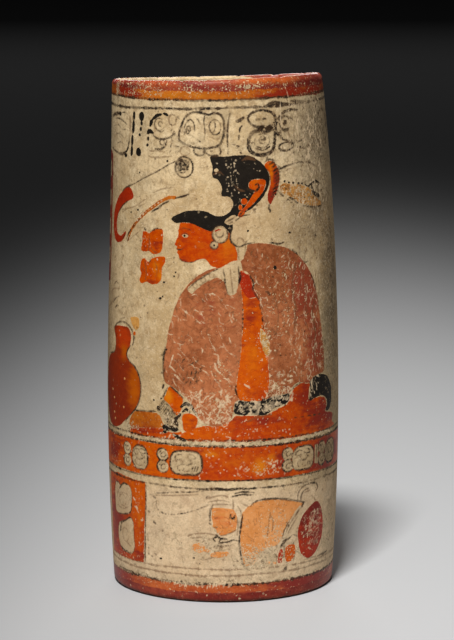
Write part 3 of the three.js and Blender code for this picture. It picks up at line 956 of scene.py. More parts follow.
def paintFoot():
    fill("orange", [
        (-29.2, 98.4), (-28, 101), (-26.8, 104), (-25.4, 104.8), (-22.4, 102.4), (-19.2, 99.6), (-19.4, 96),
        (-20.4, 93.4), (-22.2, 90.8), (-24.4, 93.4), (-26.4, 96)])
    strokes("ink", 0.9, [(-25.6, 104.9), (-22.4, 102.6), (-19, 99.8)], [(-29.8, 99), (-28.6, 101.4), (-27.2, 104)])
    brush("pale", [(-24.6, 98.8), (-23.4, 98.4), (-23.6, 97), (-24.8, 96.2)], 0.9)
    fill("orange", [(-19.6, 90.6), (-17, 92.4), (-14, 92), (-11.8, 90), (-12.4, 86.6), (-14.6, 84.4), (-18.6, 84)])
    # hatched sole strip, its ties, and the dark fringe under it
    strokes("ink", 0.55, [(-33.4, 93.6), (-27.6, 87.6), (-22.6, 82.4)], [(-29.2, 98), (-25, 94), (-20.6, 89.4)])
    for step in np.linspace(0, 1, 15):
        near = np.array([-33.2, 93.8]) + step * np.array([10.4, -10.6])
        far = np.array([-29.4, 97.8]) + step * np.array([8.6, -8])
        brush("ink", [near + hand.uniform(-0.3, 0.3, 2), (near + far) / 2 + hand.uniform(-0.3, 0.3, 2), far], 0.5)
    strokes(
        "black", 1.9, [(-20, 95.4), (-17.6, 97), (-14.8, 95.6), (-13.2, 92.8)],
        [(-20.6, 91.6), (-22.8, 89), (-22, 86.2)], [(-24.4, 81.8), (-20.4, 79.9), (-17.8, 79.2)])
    strokes(
        "black", 1.3, [(-19.2, 93), (-17.2, 94.4), (-15.6, 92.8)], [(-13, 93.6), (-12, 91.4)],
        [(-32.8, 94.4), (-31.8, 93.4)])
    dots(
        (-27.6, 84.8, 2.6, 1.7), (-23.6, 84.2, 2.2, 1.4), (-28.8, 82.6, 1.2, 0.8), (-35, 97.4, 0.5, 0.5),
        (-30.8, 98.6, 0.6, 0.5))
    scratch("scrape", 22, (-30, -19), (81, 92), 0.6, 1.3)


def paintBench():
    fill(
        "amber", [(-47.6, 90.4), (-44, 91), (-38, 91.3), (-33.4, 91.4), (-31, 89.6), (-29.4, 86), (-30, 83),
        (-31, 79.6), (-40, 79.4), (-47, 79.4), (-50.4, 80.8), (-52.6, 84), (-50.4, 88)], sharp=True)
    brush("ink", [(-47.4, 90.8), (-43, 91.2), (-38, 91.6), (-33.6, 91.8)], 0.85)
    fill(
        "orange", [(-52, 79), (-51, 81.4), (-44, 82.8), (-36, 83.6), (-31, 84.4), (-26, 82.6), (-20, 83.4), (-18, 79)],
        sharp=True)
    fill("orange", [
        (-20, 79.3), (-17, 83.6), (-12.8, 85.4), (-8.6, 86.6), (-4.4, 87), (0.4, 87.4), (4.2, 89.4), (6.2, 91.4),
        (11, 91.6), (16, 91.4), (21, 91.2), (25, 92.8), (29, 94.4), (33, 96.2), (34.8, 100.2), (37, 103), (41, 104.8),
        (45, 105.2), (47.4, 104), (46.4, 99.6), (46.6, 96), (51, 96.4), (56.4, 96.4), (60.6, 94.4), (61.6, 91),
        (60.2, 88.4), (64, 87.6), (69, 86), (68, 82.6), (64, 79.4)])
    brush("ink", [(34.8, 101.4), (37.4, 103.8), (41, 105.2), (45, 105.6)], 0.7)
    dashes("ink", [(37, 88.6), (44, 88.4), (50, 88.2), (58, 88)], 0.8, 2.6, 1.6)
    brush("wash", [(12, 88.6), (18, 91), (24, 91.4)], 1.2)
    fill("black", [
        (47, 106), (50, 108.4), (56, 107.6), (61, 106.2), (64.6, 103.4), (67, 98.6), (67, 93), (65.4, 89.4),
        (62.4, 88.4), (60.6, 89.6), (62, 91.6), (61, 94.6), (57, 96.8), (51.6, 96.6), (46.9, 95.8), (47.6, 101)])
    strokes(
        "scrape", 0.9, [(46.4, 110), (49, 107.8), (48.4, 104), (49.2, 101)],
        [(49.4, 109.6), (52, 107.6), (54.6, 106.2)])
    scratch("scrape", 24, (47, 54), (97, 108), 0.5, 1.5, (80, 150))


def paintJar():
    fill(
        "wine", [(-68.4, 127.6), (-66.6, 129.4), (-62, 130), (-57.4, 130.4), (-53.4, 130.2), (-51.2, 128.4),
        (-50.6, 125), (-51.6, 121.6), (-53.6, 118.8), (-54.2, 116.4), (-52, 114.2), (-48.4, 112.2), (-45.2, 108.6),
        (-43.6, 104.6), (-43.6, 99.4), (-45.2, 94.6), (-48.4, 90.6), (-52.6, 87), (-57, 83.8), (-62, 81), (-69, 79.8),
        (-75, 81.6), (-79.4, 87), (-81.6, 94), (-82, 101), (-80.4, 108), (-77, 112.6), (-72.6, 115), (-68.4, 116.2),
        (-66.4, 118.6), (-66, 122.4), (-67, 125)], margin=9)
    strokes(
        "ink", 0.75, [(-51, 121.8), (-53.8, 118.8), (-54.2, 116.4), (-51.8, 114.2), (-48, 112.2), (-45, 108.8),
        (-43.5, 104.6), (-43.5, 99.4), (-45, 94.6), (-48.2, 90.6), (-52.4, 87), (-56, 84.2)],
        [(-75, 114.9), (-71, 115.6), (-67.6, 116.8), (-66.2, 119.6)])
    strokes(
        "ink", 0.95, [(-68.6, 128.2), (-65, 130.6), (-60, 132.2), (-55, 132.2), (-51.4, 130.6), (-49, 128),
        (-48.4, 125), (-49.4, 122.2)])
    fill("ochre", [(-51, 135.4), (-45, 135.6), (-44.8, 131.6), (-46.4, 129.8), (-49, 131.4)])
    fill("orange", [(-49, 128.8), (-47.4, 129), (-47.2, 127.6), (-48.6, 127)])
    strokes(
        "ink", 0.8, [(-70.4, 140.2), (-67.4, 142.4), (-63, 144.2)], [(-69, 149.4), (-66.8, 150.8), (-64, 150.3)],
        [(-67.8, 138), (-65, 139.4), (-63, 139.6)])
    strokes(
        "wash", 0.7, [(-75, 144), (-70, 147), (-62, 147.8)], [(-80, 137), (-74, 139), (-70, 142)],
        [(-60, 133.8), (-56, 134.8)])
    for s, z in ((-67.6, 94), (-67.6, 87), (-70, 97.8), (-57, 91), (-66.6, 84), (-56, 105), (-60.6, 125.6)):
        oval("salmon", s, z, 0.8, 0.6)


def paintTwoSquares():
    fill("orange", [
        (-42.4, 177.2), (-40.4, 177.8), (-38.4, 177.2), (-36.4, 178.4), (-33.4, 179.5), (-29.9, 179.4), (-29.7, 175.6),
        (-30.4, 170), (-32, 168), (-35.4, 167.4), (-38, 168.6), (-40.6, 168.2), (-43.4, 168.7), (-42.6, 173)])
    fill("orange", [
        (-43.4, 163.8), (-41, 164.8), (-38.6, 163.6), (-36, 165.2), (-31.6, 166.5), (-28.4, 166.1), (-28.7, 163.4),
        (-30.2, 161), (-30.4, 157), (-32.4, 153.8), (-36.4, 152.7), (-39.6, 153.8), (-43.2, 152.7), (-44.7, 154.2),
        (-43.4, 157.2), (-44.2, 160)])
    strokes("wash", 0.9, [(-38.1, 177), (-38, 172.4), (-38.6, 168.6)], [(-41, 163.4), (-40, 159.6), (-40.4, 155)])
    strokes(
        "wash", 0.6, [(-36.8, 170), (-35, 168.6), (-33, 168.4)], [(-34.6, 164), (-33, 160), (-34, 156)],
        [(-42.8, 161), (-42, 158.6)])
    strokes("ink", 0.7, [(-37.6, 177.4), (-36, 178.6), (-33.4, 179.7), (-30.4, 179.5)], [(-38.4, 162.6), (-37, 164.4)])
    strokes(
        "pale", 0.6, [(-36.6, 170.6), (-35.4, 170), (-33.6, 170.4)], [(-40.6, 163.6), (-39, 162.4)],
        [(-41.6, 176.2), (-40.6, 175.6)])
    scratch("scrape", 20, (-43, -30), (154, 178), 0.42, 0.8)


def paintPanel():
    fill(
        "orange", [(-77, 56), (-70, 56.6), (-64, 57.5), (-55, 57), (-41, 56.4), (-41.2, 46), (-42.6, 34), (-43.8, 16.2),
        (-60, 15.8), (-77, 16)], sharp=True)
    upper = [(-69.2, 40), (-69.2, 48), (-67.4, 52.2), (-64, 52.6), (-61.8, 51.6), (-58, 53.2), (-53.4, 52.8),
             (-51.4, 50), (-51.6, 44.4), (-53, 39.8), (-58, 38),
             (-64, 37.2), (-68.4, 37.8)]
    lower = [(-66.6, 26), (-65.6, 31.4), (-62.4, 33.4), (-57.6, 35), (-53.4, 37), (-51, 35), (-50.7, 28), (-50.7, 22),
             (-53.6, 19), (-59.6, 19.2), (-64.6, 21)]
    for outline in (upper, lower):
        fill("pale", outline)
        brush("wash", outline, 0.6, closed=True)
        strokes("ink", 0.5, outline[1:6], outline[8:12])
    strokes(
        "ink", 1, [(-62.8, 49.8), (-61.4, 51.4), (-58, 53.2), (-55, 53)], [(-64, 28.6), (-62, 32.8), (-57.4, 35)],
        [(-64.2, 20.8), (-60.4, 19.3), (-57, 19.6)])
    strokes(
        "wash", 0.6, loop(-60, 44.6, 3.4, 2.9), [(-64, 47.6), (-57, 48.4), (-53.8, 47)], loop(-58.4, 27.6, 3.1, 3.4),
        [(-66, 41), (-60, 40.4), (-55, 42)], [(-57, 24), (-54, 22.6)], [(-66.6, 45), (-64.6, 49)])
    brush("ink", [(-40.8, 55.4), (-41, 46), (-42, 34), (-43, 16.4)], 0.8, ends=0.8)
    strokes(
        "scrape", 0.9, [(-50, 47.6), (-48.4, 46.4)], [(-49.4, 43.6), (-47.8, 42.4), (-46.2, 40.4)],
        [(-48, 43.8), (-46.6, 42)], [(-48.8, 52.4), (-47.6, 52)], [(-44.8, 37.2), (-43.8, 37)])
    scratch("scrape", 26, (-51, -43), (18, 55), 0.5, 0.9)


def paintShell():
    dashes("ink", [(-38.2, 50.9), (-36.6, 50.6), (-34.8, 49.4)], 0.9, 2, 0.5)
    dashes(
        "ink", [(-34.4, 48.2), (-34.5, 45.8), (-32.6, 43.4), (-28.4, 42.3), (-22, 43), (-15, 44.9), (-6.6, 48.4)], 0.55,
        1.4, 0.5)
    dashes("ink", [(-34.4, 51.9), (-28, 53), (-22, 53.8), (-15, 54.3), (-9, 55.2)], 0.7, 2.6, 0.7)
    strokes(
        "ink", 0.8, [(4.6, 52.4), (9, 53.2), (14.8, 52.9)], [(6, 54), (10, 54.6), (15.2, 54)],
        [(-8.2, 51.6), (-7, 52.6)])
    strokes(
        "wash", 0.8, [(-8, 51.2), (-4, 52.4), (0, 53), (2.4, 52.2)], [(-34, 51), (-26, 51.8), (-18, 52.6), (-12, 53.2)],
        [(-7, 49.6), (-2, 50.6), (3, 49.8)], [(-5, 48.4), (0, 48.8), (4, 48.2)], [(4.8, 50.8), (5, 48), (4.8, 45.4)])
    dots((-32.6, 19.8, 0.9, 0.5))


def paintKneeler():
    fill("salmon", [
        (-5.4, 46.6), (-1.6, 46.9), (2.6, 46.6), (5, 46), (6.8, 43), (6.8, 38), (5.6, 35.4), (3, 34.4), (0, 33.3),
        (-2.6, 34.4), (-3.4, 36.4), (-5.2, 38), (-4.8, 39.4), (-5.4, 42), (-5.2, 44.4)])
    fill("salmon", [
        (9, 42.6), (10.6, 45.6), (14.4, 48.6), (20, 49.9), (26, 49.9), (32, 49), (38, 47.4), (43, 45.6), (40.6, 42),
        (35.6, 38.6), (32, 34.4), (30.6, 30.6), (28, 27.4), (24, 26.6), (20, 24.6), (17, 20.4), (14.4, 18.4),
        (10.8, 18.6), (9.4, 24), (8.4, 31), (8.6, 37)])
    strokes(
        "ink", 1, [(-4.8, 48.2), (-5.8, 46.2), (-6.3, 43), (-6.2, 40.6)], [(-6.6, 39.4), (-5.6, 38.6)],
        [(3.8, 43.6), (3.6, 42.2), (5, 41.7), (5.9, 43.2)])
    strokes("ink", 0.4, [(-3.8, 41.8), (-2.8, 42.3), (-1.6, 41.8)], [(-4.6, 37.4), (-3.6, 37.2), (-2.8, 37.5)])
    strokes(
        "ink", 0.95, [(9.6, 43.4), (8.7, 37), (8, 31), (8.6, 25), (9.6, 20), (10.8, 17.8)],
        [(13.4, 47.4), (16, 49.6), (21, 50.3), (28, 50), (35, 48.6), (43.4, 46.4)],
        [(43.4, 46), (40.8, 42.4), (35.8, 39), (32.2, 34.8), (30.8, 31)])
    strokes(
        "wash", 0.8, [(7.2, 47.6), (8.6, 45.4), (9, 42.6)], [(10, 48.6), (12.6, 47.2)],
        [(23.8, 44), (23, 38), (22.2, 31)], [(-1, 33.2), (2, 33.8), (6.4, 36)], [(7, 33), (7.4, 37), (7, 42)],
        [(24.4, 42), (25.4, 38), (24.6, 34)], [(42.4, 44.4), (39, 41), (35, 37.4), (33, 33.6)])
    # hands held out, lightly drawn
    strokes(
        "ink", 0.75, [(-3.6, 30.4), (-4.6, 31.4), (-3, 32.8), (-1.4, 31.8), (-2, 30.2)],
        [(-2, 29.6), (1.6, 30), (5, 31), (8, 30.4)], [(-4, 28), (0, 28.4), (4, 28.4)], [(-1, 32), (2, 31.6)],
        [(-3.4, 33.8), (-2.4, 32.6)])
    strokes(
        "wash", 0.8, [(-17.4, 32.6), (-14, 33.8), (-8, 34.2), (-2.6, 33.4)], [(-15.6, 31.6), (-11, 32.2), (-6, 31.6)],
        [(-10.6, 26.6), (-4, 25.6), (3.4, 26.8)], [(-10, 21), (-4, 22.6), (1.4, 23.4)],
        [(-13.4, 30.6), (-9, 29.8), (-6.4, 28.4)], [(-12, 28), (-6, 27), (3.4, 28)], [(-7, 23.6), (-2, 24.4)])
    dots((-14.6, 21.9, 0.7, 0.4), (-11.6, 19.2, 0.5, 0.4))
    fill("salmon", [(-6.6, 23.6), (-3.6, 25.2), (1, 25.4), (3, 24.4), (0.6, 22.8), (-4, 22.4)])
    for s, z, wide, tall in ((-12, 27, 3.4, 2.4), (-7.6, 25.8, 1.6, 1), (13.4, 19.2, 1.8, 1.1), (23, 18.8, 1.6, 1),
                             (26.6, 18.2, 1, 0.8), (17, 22, 1.2, 1)):
        oval("salmon", s, z, wide, tall)


def paintGoods():
    # scrolls, a sleeve and small pieces, and the dark red ball at the right
    strokes(
        "ink", 0.95, [(39.6, 47.6), (39.6, 50.6), (41.4, 53.2), (45, 54.6), (49.4, 55), (52.8, 54.2), (54, 52),
        (52.6, 50.4)], [(41.6, 47.6), (41.8, 50), (43.6, 52), (46.6, 52.8)],
        [(33.2, 29), (35, 30), (37, 31.6), (39.4, 30.2)])
    fill("pale", [(36, 40), (41, 45), (43, 42), (41.4, 37), (40.2, 31), (37, 31.2), (33.2, 29.4), (31.6, 31), (33, 35)])
    strokes(
        "wash", 0.7, [(32.4, 32), (34.4, 36), (38.4, 40.4), (41.6, 43.6)], [(34, 32.4), (36.4, 36), (39.6, 39.6)],
        [(44, 51), (48, 51.6)], [(49, 48.8), (51.6, 46.8), (53.4, 44.8)], [(27.4, 27), (27.8, 22), (27.6, 18)])
    strokes(
        "ink", 0.7, [(33, 37.4), (34.4, 35.6)], [(31.4, 33.6), (32.6, 35)], [(42.4, 46.4), (44.4, 46.2)],
        [(38.6, 41), (40.8, 43.4)])
    strokes("ink", 1.5, [(31, 28.4), (33.2, 29.2)], [(30, 26.4), (31.6, 27.8)])
    fill("red", [(28.4, 18), (28.7, 22), (29.6, 24.6), (31, 24), (31, 20.4), (30.4, 18)])
    fill("orange", [(32.8, 19.4), (32.8, 24.6), (34.4, 26.2), (38.4, 26), (38.8, 22), (37.6, 19.4), (34.6, 18)])
    strokes("pale", 0.7, [(36.4, 25.8), (36.6, 21.6), (37.4, 19)], [(35, 22), (36.2, 21)])
    strokes(
        "wash", 0.8, [(31.9, 26), (32, 21), (31.8, 17.8)], [(38.6, 21), (38, 18)], [(45, 17.4), (50, 17.6), (55, 17.4)])
    brush("ink", [(56.4, 17.2), (61, 17.3), (67, 17.8)], 1.1)
    fill(
        "red", [(40.2, 31), (41, 36), (43.4, 40), (46.8, 42.8), (50.6, 44.8), (54, 45.2), (57, 42.6), (59.2, 38),
        (60.2, 32.6), (59.6, 27), (56.4, 21.8), (52, 18.6), (48, 17.8), (44.2, 19.6), (41.4, 24.2)], margin=7)
    scratches(
        ("scrape", 40, (43, 50), (29, 39), 0.36, 2.2, (0, 70)),
        ("scrape", 60, (49, 58), (33, 41), 0.36, 2.2, (100, 170)),
        ("scrape", 50, (47, 56), (24, 33), 0.34, 2.2, (20, 120)),
        ("wash", 18, (44, 57), (22, 42), 0.7, 2.4),
    )


def paintFigure(cape):
    paintBench()
    paintCape(cape)
    for paintPart in (paintHead, paintHair, paintTie, paintCollar, paintSash, paintKnots, paintFoot, paintCrest):
        paintPart()


# the front, from the bands and the jar to the ball, then the wear over them
paintRegisters()
for s, gap, wide in ((-54.3, 4.3, 10.5), (-30.3, 4.2, 16), (33.2, 2.4, 14.4), (57.2, 3.2, 11.4)):
    paintCartouche(s, gap, wide)
fill("pale", [(51, 64.4), (51.2, 73.4), (53.6, 73.6), (53.8, 64)], sharp=True)
brush("ink", [(52.4, 73.2), (52.4, 64.6)], 0.6)
for s in (87, 111, 149, 173, 211, 235):
    paintCartouche(s, 3.3, 13.5)
for paintPart in (paintJar, paintTwoSquares, paintHeron, paintHook):
    paintPart()
paintFigure("rose")
for paintPart in (paintFeather, paintPanel, paintShell, paintKneeler, paintGoods):
    paintPart()
scratches(
    ("scrape", 60, (-34, 4), (7.4, 9.8), 0.7, 1.5, (60, 120)),
    ("scrape", 16, (-60, 60), (1, 9), 0.5, 0.9),
    ("scrape", 90, (-12, 34), (61, 77), 0.42, 0.7),
    ("scrape", 60, (6, 30), (62, 69), 0.5, 1),
    ("scrape", 50, (-72, -40), (60, 77), 0.4, 0.9),
    ("scrape", 70, (-4, 36), (80, 90), 0.42, 0.8),
    ("scrape", 26, (-46, -4), (79.6, 84), 0.5, 1),
)
paintBlockRow()
# long hairline scratches down the right of the headdress
scratches(
    ("scrape", 34, (34, 66), (190, 240), 0.26, 22, (75, 100)),
    ("scrape", 300, (38, 70), (184, 240), 0.4, 2, (50, 130)),
    ("ink", 130, (40, 70), (200, 240), 0.45, 0.9),
    ("wash", 70, (30, 68), (176, 238), 0.5, 1.6, (60, 120)),
)
strokes(
    "scrape", 0.42, [(34.6, 240), (34.4, 228)], [(38.4, 216), (38, 207)], [(39.8, 217), (39.2, 207)],
    [(41.2, 214), (41, 206)], [(50, 221), (56, 214), (62, 206)], [(52, 221), (58, 214), (64, 207)])

# the far side, never photographed: a second pair in the same hand, turned the other way
place.update(shift=180, flip=-1)
paintJar()
paintFigure("salmon")
for paintPart in (paintHook, paintHeron, paintTwoSquares, paintPanel, paintShell, paintKneeler, paintGoods):
    paintPart()
place.update(shift=0, flip=1)
fill("maroon", [(-88.5, 214), (-76.4, 212), (-75.6, 200), (-76, 180), (-77, 160), (-78, 150), (-88.5, 148)], sharp=True)
for z in (204, 190, 176, 162):
    oval("pale", -82.4, z, 3.4, 4.4)
    rings("ink", 0.7, (-82.4, z, 3.4, 4.4), (-82.4, z, 1.4, 1.9))
paintBackBlocks()
place["shift"] = 93.0
for z in (203, 189.6, 176.2, 162.8):
    paintBlock([(-5.2, z - 3), (-5.3, z + 2.6), (-3, z + 5), (2.6, z + 5.2), (5.2, z + 3), (5.3, z - 2.6), (3, z - 5.1),
                (-2.8, z - 5)], [
        loop(-1, z + 0.6, 2.4, 2.2, 10, 20, 340), [(2.2, z + 3), (3.2, z), (2.2, z - 3)],
        [(-3.4, z - 3.4), (-0.6, z - 3.9), (1.6, z - 3.3)]])
place["shift"] = 0.0
paintRegisterLines()
# painted contact shadow: a dark ring of ink where the foot's rounded edge meets the ground
contactShadowLook = {"height": 0.75, "uneven": 0.25, "waves": (0.6, 0.23)}
contactShadowTop = np.sin(wallS * contactShadowLook["waves"][0]) * np.sin(wallS * contactShadowLook["waves"][1])
contactShadowTop = contactShadowLook["height"] + contactShadowLook["uneven"] * contactShadowTop
paint["ink"] = np.minimum(paint["ink"], wallZ - contactShadowTop)

# the inside keeps bare slip, but at the right the maroon laps over the lip and a little way down inside
lapLook = {
    "reach": 3.8, "from": 4, "over": 18, "start": 0.5, "insideFrom": 0.3, "above": 30, "level": 0.75, "uneven": 0.25,
    "waves": (0.9, 0.37),
}
leaned = 1000 * clayLook["lean"] * (wallZ / wallShape["mouth"]) ** clayLook["leanCurve"]
radius = np.hypot(spots[:, 0] + leaned, spots[:, 1])
stepRound = ((wallS / girth) % 1 * 360).astype(int)
lipHeight = np.zeros(360)
np.maximum.at(lipHeight, stepRound, wallZ)
lapReach = lapLook["reach"] * np.clip((spots[:, 0] - lapLook["from"]) / lapLook["over"], 0, 1)
lapWaves = np.sin(wallS * lapLook["waves"][0]) * np.sin(wallS * lapLook["waves"][1])
lapReach *= lapLook["level"] + lapLook["uneven"] * lapWaves
lapEdge = np.clip(lipHeight[stepRound] - lapReach - wallZ + lapLook["start"], -farOff, farOff)
inside = (radius < lipMiddle - lapLook["insideFrom"]) & (wallZ > lapLook["above"])
for name, values in paint.items():
    values[inside] = lapEdge[inside] if name == "maroon" else farOff


def patches(places):
    # soft-edged places: s and z of the middle, half width, half height, strength
    field = np.zeros(len(wallS))
    for s, z, wide, tall, depth in places:
        away = ((wallS - s + girth / 2) % girth - girth / 2) / wide
        field = np.maximum(field, depth * np.exp(-away ** 2 - ((wallZ - z) / tall) ** 2))
    return field


# how worn each place is, where the slip burnt red, where it thinned to gold, where soot and handling darkened the wall
# (with painted shade down its sides), and where the ground yellowed
paint["worn"] = patches((
    (64, 220, 20, 22, 0.85), (52, 196, 20, 10, 0.5), (20, 21, 16, 7, 0.85), (50, 57, 14, 4, 0.55),
    (-2, 95, 12, 10, 0.4), (0, 114, 5, 5, 0.6), (33, 148, 16, 22, 0.3), (-44, 245, 24, 5, 0.48), (-68, 245, 4, 9, 0.8),
    (-14, 246, 14, 4, 0.42), (16, 247, 16, 4, 0.5), (36, 22, 12, 7, 0.5), (-27, 88, 6, 8, 0.5), (20, 97, 14, 5, 0.5),
    (-8, 27, 12, 7, 0.5), (22, 128, 5, 7, 0.6), (6, 206, 2.5, 14, 0.14), (44, 247, 22, 4, 0.3), (-45, 175, 8, 14, 0.25),
    (-68, 60, 12, 24, 0.3), (-47, 44, 5, 6, 0.35), (44, 196, 16, 5, 0.35), (28, 103, 8, 6, 0.6), (8, 219, 60, 2, 0.3),
    (-10, 10.5, 70, 2, 0.5), (150, 120, 40, 50, 0.45), (-130, 200, 30, 30, 0.6), (110, 60, 30, 20, 0.6),
    (70, 30, 14, 20, 0.5), (170, 230, 60, 12, 0.5), (-4, 78.2, 60, 1.6, 0.7), (-46, 68, 8, 6, 0.45),
    (-22, 68, 9, 6, 0.4), (40, 68, 10, 6, 0.5), (60, 68, 9, 6, 0.5), (-30, 30, 14, 12, 0.2), (30, 225, 12, 10, 0.35),
    (62, 120, 8, 40, 0.5), (-74, 200, 8, 40, 0.2), (20, 66, 8, 5, 0.45), (28, 34, 10, 12, 0.35), (-60, 17, 12, 3, 0.5),
    (-52, 83, 6, 4, 0.6), (-60, 26, 8, 8, 0.3), (-60, 44, 8, 8, 0.3)))
paint["ruddy"] = patches((
    (44, 99, 9, 8, 0.8), (58, 88, 16, 9, 0.95), (22, 88.5, 9, 3.4, 0.75), (8, 88, 5, 4, 0.5), (-14, 88, 5, 4, 0.5),
    (-18.5, 170, 4, 12, 0.35), (-41, 172, 1.9, 6, 0.5), (-34, 171, 2.4, 4, 0.45), (-30.6, 174, 1.2, 5, 0.4),
    (-42, 158, 1.6, 3, 0.4), (-36, 154.4, 4, 1.4, 0.7), (-40, 82, 14, 2.4, 0.7), (27, 195, 4, 6, 1.0),
    (30, 203, 3, 8, 0.85), (-66, 36, 12, 26, 0.85), (-47, 19, 8, 4, 0.7), (52, 42, 9, 8, 0.9), (45, 36, 5, 9, 0.8),
    (54, 30, 8, 12, 0.55), (-24, 94, 3, 4, 0.4), (46, 148, 12, 20, 0.95), (52, 122, 9, 18, 0.9), (10, 124, 3, 6, 0.3),
    (14, 141, 6, 8, 0.6), (15, 103, 7, 3, 0.45), (0, 40, 8, 8, 0.5), (-57, 244, 16, 6, 0.9), (-59, 124, 9, 8, 0.9),
    (60, 245, 20, 8, 1.2), (36, 246, 12, 3, 0.4), (44, 243, 24, 5, 1.0), (46, 8, 32, 5, 1.1), (10, 3, 40, 3, 0.7),
    (-72, 8, 22, 5, 1.0), (-14, 64, 12, 3, 0.5), (-14, 75, 8, 2, 0.6), (30, 67, 6, 9, 0.7), (60, 68, 18, 9, 1.3),
    (-68, 70, 12, 10, 0.85), (-44, 67, 9, 8, 0.4), (-6, 142, 7, 9, 0.4), (35, 103, 4, 3, 0.3), (170, 90, 20, 8, 0.6),
    (140, 150, 20, 30, 0.5)))
paint["golden"] = patches((
    (-48, 102, 6, 15, 0.8), (-56.5, 118, 4, 5, 0.8), (-54, 118, 3, 6, 0.6), (4, 172, 6, 9, 0.5), (-9, 172, 5, 6, 0.3),
    (18, 67, 5, 4, 0.8), (24, 70, 3, 3, 0.6), (8, 70, 16, 5, 0.35), (-6, 73, 5, 2, 0.6), (-37.6, 71, 2.4, 5, 0.4),
    (3, 74, 12, 1.6, 0.4), (-27, 100, 2.6, 4, 0.8), (-34, 161, 3, 4, 0.6), (-31, 158, 2, 4, 0.6), (15, 121, 5, 10, 0.4),
    (0, 82, 14, 2.5, 0.25), (-14, 243, 26, 2, 0.5), (24, 249.5, 30, 2.2, 0.75), (-34, 247, 16, 4, 0.5),
    (52, 245, 5, 3, 0.3), (6, 9.5, 34, 1.6, 0.4), (-46, 36, 2, 14, 0.4), (18, 202, 3, 3, 0.4), (27, 207, 1.4, 5, 0.6),
    (131, 104, 3, 9, 1.0), (150, 68, 8, 4, 0.6), (-150, 68, 8, 4, 0.6)))
# soot and painted shade: the tall strips at the sides stand in for shade there, the rest is soot and handling
paint["sooty"] = patches((
    (70, 150, 13, 70, 0.85), (62, 130, 8, 50, 0.4), (64, 222, 20, 24, 0.9), (60, 190, 14, 18, 0.75),
    (44, 226, 10, 12, 0.4), (60, 68, 10, 9, 1.0), (-82, 130, 12, 80, 0.6), (48, 178, 14, 14, 0.5),
    (120, 60, 30, 40, 0.5), (-120, 200, 30, 40, 0.5), (160, 200, 30, 30, 0.4)))
paint["aged"] = patches((
    (-36, 118, 22, 50, 0.6), (20, 184, 40, 16, 0.8), (70, 150, 16, 60, 1.0), (-20, 193, 14, 10, 0.5),
    (-80, 140, 16, 60, 0.9), (110, 120, 50, 80, 0.8), (-130, 120, 50, 80, 0.8)))
# the lip is worn to cream all round; the stronger patch at the front is a painted highlight
lipWearAndHighlightLook = {"least": 0.5, "ridge": lipMiddle - 0.2, "halfWide": 2.0, "from": 241.5, "over": 3}
lipWornAndLit = np.maximum(lipWearAndHighlightLook["least"], patches(((-8, 249, 24, 30, 1.0),)))
onRidge = np.clip(1 - np.abs(radius - lipWearAndHighlightLook["ridge"]) / lipWearAndHighlightLook["halfWide"], 0, 1)
paint["lipWearAndHighlight"] = lipWornAndLit * onRidge * np.clip((wallZ - lipWearAndHighlightLook["from"]) / lipWearAndHighlightLook["over"], 0, 1)

start = 0
for piece, count in zip(pieces.values(), counts):
    for name, values in paint.items():
        layer = piece.data.attributes.new(name, "FLOAT", "POINT").data
        layer.foreach_set("value", values[start:start + count].astype(np.float32))
    start += count
print("painting laid on", len(wallS), "points")


def tone(value):
    # a screen colour 0 to 255 becomes Blender's linear value, a socket stays as it is
    if isinstance(value, bpy.types.NodeSocket):
        return value
    shares = [part / 255 for part in value]
    return tuple(c / 12.92 if c <= 0.04045 else ((c + 0.055) / 1.055) ** 2.4 for c in shares) + (1,)


def newGroup(name, inputs, outputs):
    # sockets hold numbers, but for those called Vector and Color
    group = bpy.data.node_groups.new(name, "ShaderNodeTree")
    for labels, way in ((inputs, "INPUT"), (outputs, "OUTPUT")):
        for label in labels.split():
            kind = label if label in ("Vector", "Color") else "Float"
            group.interface.new_socket(label, in_out=way, socket_type="NodeSocket" + kind)
    return group, group.nodes.new("NodeGroupInput").outputs, group.nodes.new("NodeGroupOutput").inputs


def noise(tree, vector, scale, detail=2.0, rough=0.5, offset=0.0):
    if offset:
        shift = (offset, offset * 0.7, -offset)
        vector = addNode(tree, "ShaderNodeVectorMath", {0: vector, 1: shift}, operation="ADD").outputs[0]
    given = {"Vector": vector, "Scale": scale, "Detail": detail, "Roughness": rough}
    return addNode(tree, "ShaderNodeTexNoise", given).outputs[0]


def ramp(tree, value, low, high, start=0.0, end=1.0):
    given = {"Value": value, "From Min": low, "From Max": high, "To Min": start, "To Max": end}
    return addNode(tree, "ShaderNodeMapRange", given, interpolation_type="SMOOTHSTEP").outputs[0]


def patchy(tree, vector, look):
    # soft patches: the part of a noise between two limits
    return ramp(tree, noise(tree, vector, *look["noise"]), *look["limits"])


def mix(tree, factor, first, second):
    values = {0: factor, 6: tone(first), 7: tone(second)}
    return addNode(tree, "ShaderNodeMix", values, data_type="RGBA").outputs[2]


def useGroup(tree, group, **values):
    return addNode(tree, "ShaderNodeGroup", values, node_tree=group).outputs


def times(tree, first, second, **settings):
    return calc(tree, "MULTIPLY", first, second, **settings)


def grown(tree, worn, gain, least):
    # at least this much, and more where the wall is worn
    return calc(tree, "MULTIPLY_ADD", worn, gain, least)


def without(tree, mask, cover, strength=1.0):
    # mask where cover is absent
    return times(tree, mask, calc(tree, "SUBTRACT", 1.0, times(tree, cover, strength)))


wanderLook = {"fine": (1100, 2), "fineGain": 1.4, "broad": (330, 2, 0.5, 3.1), "broadGain": 1.6}


